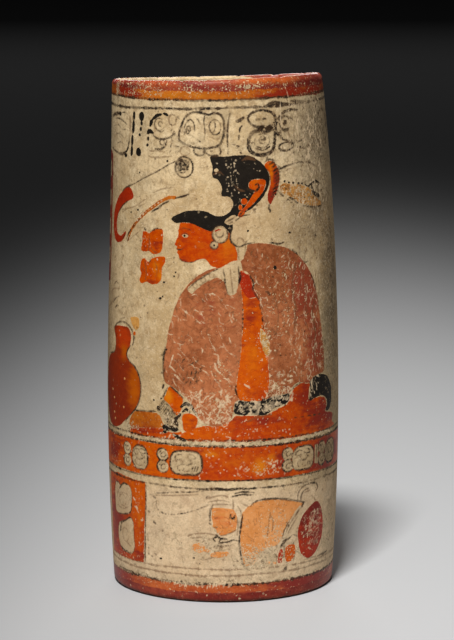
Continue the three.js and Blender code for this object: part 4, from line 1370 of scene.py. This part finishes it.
def buildBrushWander():
    # how far a brushed edge strays from its outline, about -1 to 1
    group, given, out = newGroup("brushWander", "Vector", "Wander")
    fine = calc(group, "SUBTRACT", noise(group, given["Vector"], *wanderLook["fine"]), 0.5)
    broad = calc(group, "SUBTRACT", noise(group, given["Vector"], *wanderLook["broad"]), 0.5)
    fine, broad = times(group, fine, wanderLook["fineGain"]), times(group, broad, wanderLook["broadGain"])
    group.links.new(calc(group, "ADD", fine, broad), out["Wander"])
    return group


crumbLook = {"broad": (5, 0.7), "broadShare": 0.48, "fine": (1250, 2, 0.6, 1.7), "fineShare": 0.52}


def buildCrumbs():
    # slip flakes off where this is high
    group, given, out = newGroup("crumbs", "Vector Scale", "Loose")
    broad = noise(group, given["Vector"], given["Scale"], *crumbLook["broad"])
    fine = noise(group, given["Vector"], *crumbLook["fine"])
    broad, fine = times(group, broad, crumbLook["broadShare"]), times(group, fine, crumbLook["fineShare"])
    group.links.new(calc(group, "ADD", broad, fine), out["Loose"])
    return group


markLook = {
    "slices": ((0.5, 0.0), (0.46, 5.3), (0.54, 9.1)), "detail": 1, "rough": 0.4, "line": (0.05, 0.7),
    "brokenScale": 260, "brokenShift": 2.2, "limit": 0.78, "limitGain": 0.3, "broken": (-0.01, 0.03),
}


def buildRootMarks():
    # short curved nicks: thin slices through noise, broken up by a second noise
    group, given, out = newGroup("rootMarks", "Vector Scale Width Amount", "Mask")
    vector, total = given["Vector"], None
    for cut, shift in markLook["slices"]:
        thin = noise(group, vector, given["Scale"], markLook["detail"], markLook["rough"], shift)
        thin = calc(group, "ABSOLUTE", calc(group, "SUBTRACT", thin, cut))
        line = calc(group, "SUBTRACT", 1.0, calc(group, "DIVIDE", thin, given["Width"]), clamp=True)
        broken = noise(group, vector, markLook["brokenScale"], 2, offset=shift + markLook["brokenShift"])
        limit = calc(group, "SUBTRACT", markLook["limit"], times(group, given["Amount"], markLook["limitGain"]))
        broken = ramp(group, calc(group, "SUBTRACT", broken, limit), *markLook["broken"])
        line = times(group, ramp(group, line, *markLook["line"]), broken)
        total = line if total is None else calc(group, "MAXIMUM", total, line)
    group.links.new(total, out["Mask"])
    return group


speckLook = {"biggest": 0.42, "uneven": (1400, 2, 0.5, 6.6), "unevenGain": 0.8, "unevenMiddle": 0.4, "edge": -0.1}


def buildFineSpecks():
    # small grains, no two the same shape
    group, given, out = newGroup("fineSpecks", "Vector Scale Amount", "Mask")
    spread = {"Vector": given["Vector"], "Scale": given["Scale"], "Randomness": 1.0}
    cells = addNode(group, "ShaderNodeTexVoronoi", spread)
    chance = addNode(group, "ShaderNodeSeparateColor", {0: cells.outputs["Color"]}).outputs[0]
    size = ramp(group, chance, calc(group, "SUBTRACT", 1.0, given["Amount"]), 1.0, 0.0, speckLook["biggest"])
    away = calc(group, "SUBTRACT", cells.outputs["Distance"], speckLook["unevenMiddle"])
    uneven = noise(group, given["Vector"], *speckLook["uneven"])
    uneven = calc(group, "MULTIPLY_ADD", uneven, speckLook["unevenGain"], away)
    group.links.new(ramp(group, calc(group, "SUBTRACT", uneven, size), 0.0, speckLook["edge"]), out["Mask"])
    return group


brushWander, crumbs, rootMarks, fineSpecks = buildBrushWander(), buildCrumbs(), buildRootMarks(), buildFineSpecks()

creamLook = {
    "base": {"noise": (26, 5, 0.55), "limits": (0.38, 0.62)}, "deep": (197, 167, 121), "light": (223, 195, 150),
    "mottles": (
        {"noise": (70, 5, 0.6, 9.3), "limits": (0.5, 0.66, 0.0, 0.55), "tone": (168, 148, 114)},
        {"noise": (120, 4, 0.6, 4.4), "limits": (0.45, 0.68, 0.0, 0.85), "tone": (231, 205, 161)},
        {"noise": (200, 5, 0.7, 7.9), "limits": (0.5, 0.68, 0.0, 0.7), "tone": (156, 124, 84)},
        {"noise": (520, 4, 0.7, 12.1), "limits": (0.42, 0.64, 0.0, 0.4), "tone": (150, 128, 94)},
    ),
    "aged": 0.6, "agedTone": (180, 144, 96), "panel": (0.062, 0.05, 0.0, 0.34), "panelTone": (232, 198, 166),
    # soot mottles, which also carry painted shade
    "soot": (
        {"noise": (130, 5, 0.68, 19.0), "limits": (0.38, 0.62, 0.25, 1.0), "tone": (108, 89, 65)},
        {"noise": (640, 4, 0.65, 23.0), "limits": (0.5, 0.62, 0.0, 0.8), "tone": (70, 54, 36)},
        {"noise": (760, 4, 0.65, 27.0), "limits": (0.52, 0.62, 0.0, 0.8), "tone": (214, 192, 158)},
    ),
    "grain": (
        {"noise": (1300, 3, 0.6, 15.3), "limits": (0.52, 0.66, 0.0, 0.26), "tone": (146, 116, 80)},
        {"noise": (1150, 3, 0.6, 17.9), "limits": (0.54, 0.68, 0.0, 0.34), "tone": (236, 212, 176)},
    ),
    "rubbed": ({"noise": (150, 6, 0.75), "limits": (0.38, 0.62, 0.1, 0.85), "tone": (156, 138, 106)},),
    # what the marks are, how much wear strengthens them, how strong they are at least, their tone
    "marks": {
        "stains": (rootMarks, {"Scale": 120.0, "Width": 0.022, "Amount": 0.7}, 0.45, 0.28, (112, 88, 56)),
        "flecks": (rootMarks, {"Scale": 210.0, "Width": 0.02, "Amount": 0.68}, 0.6, 0.12, (230, 208, 172)),
        "cracks": (rootMarks, {"Scale": 290.0, "Width": 0.026, "Amount": 0.76}, 0.8, 0.06, (92, 74, 50)),
        "grains": (fineSpecks, {"Scale": 560.0, "Amount": 0.08}, 0.0, 0.6, (92, 70, 48)),
        "pits": (fineSpecks, {"Scale": 300.0, "Amount": 0.02}, 0.0, 0.8, (66, 50, 36)),
    },
    "dirt": {"noise": (800, 3, 0.7, 2.0), "limits": (0.55, 0.68)}, "dirtGrown": (0.6, 0.14), "dirtTone": (108, 86, 58),
    "relief": (420, 5, 0.62), "reliefShare": 0.5, "sunk": {"pits": 0.8, "grains": 0.2, "cracks": 0.3},
}


def buildCreamGround():
    # the cream slip under everything: mottled, stained along root marks, speckled and pitted
    group, given, out = newGroup("creamGround", "Vector Worn Aged Sooty", "Color Height")
    vector, worn = given["Vector"], given["Worn"]

    def mottled(colour, layers, share=1.0):
        for look in layers:
            colour = mix(group, times(group, share, patchy(group, vector, look)), colour, look["tone"])
        return colour

    colour = mix(group, patchy(group, vector, creamLook["base"]), creamLook["deep"], creamLook["light"])
    colour = mottled(colour, creamLook["mottles"])
    colour = mix(group, times(group, given["Aged"], creamLook["aged"]), colour, creamLook["agedTone"])
    # pinker slip behind the lower panel, and lighter: painted light low on the wall
    up = addNode(group, "ShaderNodeSeparateXYZ", {0: vector}).outputs["Z"]
    colour = mix(group, ramp(group, up, *creamLook["panel"]), colour, creamLook["panelTone"])
    # soot mottles, darker where the soot and painted shade patches lie
    colour = mottled(colour, creamLook["soot"], given["Sooty"])
    colour = mottled(colour, creamLook["grain"])
    colour = mottled(colour, creamLook["rubbed"], worn)
    masks = {}
    for name, (kind, sizes, gain, least, shade) in creamLook["marks"].items():
        masks[name] = useGroup(group, kind, Vector=vector, **sizes)["Mask"]
        colour = mix(group, times(group, masks[name], grown(group, worn, gain, least)), colour, shade)
    dirt = times(group, patchy(group, vector, creamLook["dirt"]), grown(group, worn, *creamLook["dirtGrown"]))
    group.links.new(mix(group, dirt, colour, creamLook["dirtTone"]), out["Color"])
    height = times(group, noise(group, vector, *creamLook["relief"]), creamLook["reliefShare"])
    for name, depth in creamLook["sunk"].items():
        height = calc(group, "SUBTRACT", height, times(group, masks[name], depth))
    group.links.new(height, out["Height"])
    return group


creamGround = buildCreamGround()

# each slip's deep and light tone, the tone it burns to and, where it thins, its gold;
# when it flakes, how nicked it is, how ragged its edge is, its roughness
slipLook = {
    "pale": {"deep": (170, 138, 98), "light": (200, 170, 130), "burnt": (180, 146, 104),
             "flake": 0.66, "nicks": 0.0, "ragged": 0.35, "rough": 0.72},
    "ochre": {"deep": (158, 98, 36), "light": (214, 154, 78), "burnt": (158, 88, 36),
              "flake": 0.6, "nicks": 0.5, "ragged": 0.6, "rough": 0.62},
    "salmon": {"deep": (207, 129, 62), "light": (228, 158, 97), "burnt": (206, 112, 56),
               "flake": 0.60, "nicks": 0.3, "ragged": 0.4, "rough": 0.6},
    "rose": {"deep": (132, 69, 34), "light": (187, 113, 70), "burnt": (142, 62, 38),
             "flake": 0.64, "nicks": 0.4, "ragged": 0.4, "rough": 0.6},
    "orange": {"deep": (172, 52, 0), "light": (206, 90, 0), "burnt": (136, 38, 18), "gold": (208, 116, 12),
               "flake": 0.645, "nicks": 0.0, "ragged": 0.45, "rough": 0.42},
    "amber": {"deep": (160, 76, 14), "light": (196, 108, 28), "burnt": (138, 38, 18), "gold": (190, 118, 24),
              "flake": 0.625, "nicks": 0.2, "ragged": 0.5, "rough": 0.45},
    "red": {"deep": (148, 34, 6), "light": (178, 50, 14), "burnt": (118, 26, 10),
            "flake": 0.64, "nicks": 0.1, "ragged": 0.4, "rough": 0.45},
    "wine": {"deep": (128, 38, 14), "light": (146, 48, 14), "burnt": (186, 58, 10), "gold": (184, 86, 6),
             "flake": 0.66, "nicks": 0.0, "ragged": 0.3, "rough": 0.42},
    "maroon": {"deep": (118, 42, 32), "light": (154, 66, 44), "burnt": (112, 34, 26), "gold": (176, 84, 30),
               "flake": 0.62, "nicks": 0.3, "ragged": 0.7, "rough": 0.42},
    "russet": {"deep": (160, 66, 26), "light": (196, 100, 50), "burnt": (134, 42, 32),
               "flake": 0.62, "nicks": 0.2, "ragged": 0.6, "rough": 0.4},
    "black": {"deep": (24, 19, 14), "light": (36, 30, 23), "burnt": (40, 30, 22),
              "flake": 0.67, "nicks": 0.0, "ragged": 0.4, "rough": 0.45},
}
paintLook = {
    "bareRough": 0.74, "wander": (1.6, 1.0), "crumbs": 480.0, "looseWorn": 0.2,
    "nicks": {"Scale": 380.0, "Width": 0.03, "Amount": 0.5}, "nicksGrown": (1.3, 0.35),
    "specks": {"Scale": 620.0, "Amount": 0.13},
    "clusters": {"noise": (55, 4, 0.6, 3.7), "limits": (0.48, 0.62, 0.1, 0.8)},
    "shade": {"noise": (26, 5, 0.55, 6.0), "limits": (0.38, 0.62)}, "shadeShare": 0.55,
    "grainy": {"noise": (420, 4, 0.65, 8.0), "limits": (0.36, 0.64)}, "grainyShare": 0.45,
    "streaks": (0.7, 0.7, 1.8), "burn": {"noise": (200, 5, 0.62, 2.9), "gain": 1.9, "limits": (0.15, 0.85)},
    "gilt": {"noise": (160, 4, 0.6, 5.1), "gain": 0.9, "limits": (0.1, 0.95)},
    "edge": 0.14, "flakes": (-0.008, 0.02), "flaked": 0.92, "specked": 0.75,
    "darkMarks": {"Scale": 230.0, "Width": 0.03, "Amount": 0.72}, "darkShare": 0.4, "darkTone": 0.62,
    "marked": ("pale", "rose", "salmon", "ochre", "maroon"), "paleShare": 0.4,
    # soot and painted shade, laid over slip and ground alike
    "sooty": 0.3, "sootAndShadeTone": (52, 38, 27), "drySpots": 0.6, "dry": (-0.012, 0.025),
    "wash": (0.45, 0.35), "washShare": 0.6, "washTone": (104, 70, 42),
    "bleed": (0.7, 0.7), "bleedShare": 0.38, "bleedTone": (104, 72, 42), "ink": (0.42, 0.3),
    "inkWorn": ({"noise": (85, 3, 0.5, 1.2), "limits": (0.32, 0.55, 0.5, 1.0)},
                {"noise": (640, 3, 0.6, 4.8), "limits": (0.34, 0.5, 0.4, 1.0)}),
    "loaded": {"noise": (150, 4, 0.6, 21.0), "limits": (0.4, 0.6)}, "thinInk": (64, 46, 30), "thickInk": (30, 22, 15),
    "scrape": (0.45, 0.25), "scraped": {"noise": (300, 3, 0.5, 7.3), "limits": (0.36, 0.56, 0.35, 0.9)},
    "scrapeTone": (216, 188, 150), "lip": {"noise": (170, 5, 0.7), "gain": 1.8, "limits": (0.4, 0.6)},
    "lipShare": 0.9, "lipCreamAndHighlightTone": (182, 144, 112), "slipRelief": 0.35, "inkRelief": 0.1, "bump": (0.5, 0.00022),
}
insideLook = {
    "worn": 0.35, "aged": 0.3, "stretch": (1.0, 1.0, 9.0), "streaks": {"noise": (24, 4, 0.6), "limits": (0.4, 0.66)},
    "streakShare": 0.4, "streakTone": (150, 118, 82), "residue": (0.12, 0.01), "residueNoise": (34, 4, 0.6),
    "residueMiddle": 0.62, "residueLimits": (0.0, 0.9, 0.0, 0.7), "residueTone": (92, 72, 52),
    "rough": (0.0, 1.0, 0.7, 0.85), "streakRelief": 0.5, "bump": (0.6, 0.0003),
}
jointLook = {
    "body": {"noise": (60, 5, 0.6), "limits": (0.35, 0.65)}, "deep": (140, 104, 74), "light": (178, 140, 104),
    "grit": {"Scale": 380.0, "Amount": 0.22}, "gritShare": 0.5, "gritTone": (96, 74, 54),
    "crumbs": 90.0, "scuffs": (0.54, 0.57), "scuffShare": 0.5, "scuffTone": (196, 164, 128),
    "rough": (0.0, 1.0, 0.88, 0.78), "relief": (500, 4, 0.6), "gritRelief": 0.4, "bump": (0.5, 0.0002),
}
specularLevel = 0.14


def startMaterial(material):
    material.use_nodes = True
    tree = material.node_tree
    vector = tree.nodes.new("ShaderNodeTexCoord").outputs["Object"]
    shader = tree.nodes["Principled BSDF"].inputs
    shader["Specular IOR Level"].default_value = specularLevel
    return tree, shader, vector


def finish(tree, shader, colour, rough, height, bump):
    tree.links.new(colour, shader["Base Color"])
    tree.links.new(rough, shader["Roughness"])
    given = {"Height": height, "Strength": bump[0], "Distance": bump[1]}
    tree.links.new(addNode(tree, "ShaderNodeBump", given).outputs[0], shader["Normal"])


def attribute(tree, name):
    return addNode(tree, "ShaderNodeAttribute", attribute_name=name).outputs["Fac"]


def finishPaintedSlip():
    tree, shader, vector = startMaterial(paintedSlip)
    look = paintLook
    worn, sooty = attribute(tree, "worn"), attribute(tree, "sooty")
    ground = useGroup(tree, creamGround, Vector=vector, Worn=worn, Aged=attribute(tree, "aged"), Sooty=sooty)
    colour, rough, covered = ground["Color"], look["bareRough"], None
    wander = times(tree, useGroup(tree, brushWander, Vector=vector)["Wander"], grown(tree, worn, *look["wander"]))
    loose = useGroup(tree, crumbs, Vector=vector, Scale=look["crumbs"])["Loose"]
    loose = grown(tree, worn, look["looseWorn"], loose)
    nicks = useGroup(tree, rootMarks, Vector=vector, **look["nicks"])["Mask"]
    nicks = times(tree, nicks, grown(tree, worn, *look["nicksGrown"]), clamp=True)
    specks = useGroup(tree, fineSpecks, Vector=vector, **look["specks"])["Mask"]
    specks = times(tree, specks, calc(tree, "ADD", patchy(tree, vector, look["clusters"]), worn), clamp=True)
    darkMarks = useGroup(tree, rootMarks, Vector=vector, **look["darkMarks"])["Mask"]
    tint = times(tree, patchy(tree, vector, look["shade"]), look["shadeShare"])
    tint = calc(tree, "ADD", tint, times(tree, patchy(tree, vector, look["grainy"]), look["grainyShare"]))

    def frayed(where, patch, amount):
        # a patch of the wall, its edge broken up by noise
        stray = calc(tree, "SUBTRACT", noise(tree, where, *patch["noise"]), 0.5)
        return ramp(tree, calc(tree, "MULTIPLY_ADD", stray, patch["gain"], amount), *patch["limits"])

    def brushed(name, ragged, soft):
        strayed = calc(tree, "MULTIPLY_ADD", wander, ragged, attribute(tree, name))
        return ramp(tree, calc(tree, "DIVIDE", strayed, soft), 1.0, -1.0)

    def flakedAt(limit, edge):
        return ramp(tree, calc(tree, "SUBTRACT", loose, limit), *edge)

    def over(colour, mask, share, shade):
        return mix(tree, times(tree, mask, share), colour, shade)

    streaky = addNode(tree, "ShaderNodeMapping", {"Vector": vector, "Scale": look["streaks"]}).outputs[0]
    burn = frayed(streaky, look["burn"], attribute(tree, "ruddy"))
    gilt = frayed(streaky, look["gilt"], attribute(tree, "golden"))
    for name, slip in slipLook.items():
        mask = brushed(name, slip["ragged"], look["edge"])
        mask = without(tree, mask, flakedAt(slip["flake"], look["flakes"]), look["flaked"])
        if slip["nicks"]:
            mask = without(tree, mask, nicks, slip["nicks"])
        mask = without(tree, mask, specks, look["specked"])
        pigment = mix(tree, tint, slip["deep"], slip["light"])
        pigment = mix(tree, burn, pigment, slip["burnt"])
        if "gold" in slip:
            pigment = mix(tree, gilt, pigment, slip["gold"])
        if name in look["marked"]:
            pigment = over(pigment, darkMarks, look["darkShare"], [part * look["darkTone"] for part in slip["burnt"]])
        if name == "pale":
            pigment = mix(tree, look["paleShare"], ground["Color"], pigment)
        colour = mix(tree, mask, colour, pigment)
        covered = mask if covered is None else calc(tree, "MAXIMUM", covered, mask)
        rough = calc(tree, "MULTIPLY_ADD", mask, slip["rough"], without(tree, rough, mask))
    # soot and handling dirt, with painted shade down the sides, lie over slip and ground alike
    colour = over(colour, sooty, look["sooty"], look["sootAndShadeTone"])
    # brown washes, then black brush lines that bled a little, then marks scraped through to the cream
    dry = flakedAt(look["drySpots"], look["dry"])
    wash = without(tree, times(tree, brushed("wash", *look["wash"]), look["washShare"]), dry)
    colour = mix(tree, wash, colour, look["washTone"])
    colour = over(colour, brushed("ink", *look["bleed"]), look["bleedShare"], look["bleedTone"])
    ink = without(tree, brushed("ink", *look["ink"]), dry)
    for patch in look["inkWorn"]:
        ink = times(tree, ink, patchy(tree, vector, patch))
    loaded = patchy(tree, vector, look["loaded"])
    colour = mix(tree, ink, colour, mix(tree, loaded, look["thinInk"], look["thickInk"]))
    scraped = times(tree, brushed("scrape", *look["scrape"]), patchy(tree, vector, look["scraped"]))
    colour = mix(tree, scraped, colour, look["scrapeTone"])
    # lip rubbed back to cream, paler still at the front as a painted highlight
    rubbed = frayed(vector, look["lip"], attribute(tree, "lipWearAndHighlight"))
    colour = over(colour, rubbed, look["lipShare"], look["lipCreamAndHighlightTone"])
    height = calc(tree, "MULTIPLY_ADD", covered, look["slipRelief"], ground["Height"])
    height = calc(tree, "MULTIPLY_ADD", ink, look["inkRelief"], height)
    finish(tree, shader, colour, rough, height, look["bump"])


def finishInsideClay():
    tree, shader, vector = startMaterial(insideClay)
    look = insideLook
    ground = useGroup(tree, creamGround, Vector=vector, Worn=look["worn"], Aged=look["aged"])
    # wiping marks run round the wall, and old residue darkens the lower part
    wiped = addNode(tree, "ShaderNodeMapping", {"Vector": vector, "Scale": look["stretch"]}).outputs[0]
    streaks = patchy(tree, wiped, look["streaks"])
    colour = mix(tree, times(tree, streaks, look["streakShare"]), ground["Color"], look["streakTone"])
    up = addNode(tree, "ShaderNodeSeparateXYZ", {0: vector}).outputs["Z"]
    uneven = calc(tree, "SUBTRACT", noise(tree, vector, *look["residueNoise"]), look["residueMiddle"])
    residue = calc(tree, "ADD", ramp(tree, up, *look["residue"]), uneven)
    colour = mix(tree, ramp(tree, residue, *look["residueLimits"]), colour, look["residueTone"])
    height = calc(tree, "MULTIPLY_ADD", streaks, look["streakRelief"], ground["Height"])
    finish(tree, shader, colour, ramp(tree, streaks, *look["rough"]), height, look["bump"])


def finishJointClay():
    tree, shader, vector = startMaterial(jointClay)
    look = jointLook
    colour = mix(tree, patchy(tree, vector, look["body"]), look["deep"], look["light"])
    grit = useGroup(tree, fineSpecks, Vector=vector, **look["grit"])["Mask"]
    colour = mix(tree, times(tree, grit, look["gritShare"]), colour, look["gritTone"])
    scuffs = ramp(tree, useGroup(tree, crumbs, Vector=vector, Scale=look["crumbs"])["Loose"], *look["scuffs"])
    colour = mix(tree, times(tree, scuffs, look["scuffShare"]), colour, look["scuffTone"])
    height = calc(tree, "SUBTRACT", noise(tree, vector, *look["relief"]), times(tree, grit, look["gritRelief"]))
    finish(tree, shader, colour, ramp(tree, scuffs, *look["rough"]), height, look["bump"])


finishPaintedSlip()
finishInsideClay()
finishJointClay()
print("finishes made")

for node, piece in pieces.items():
    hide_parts(node)
    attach(piece, "root")
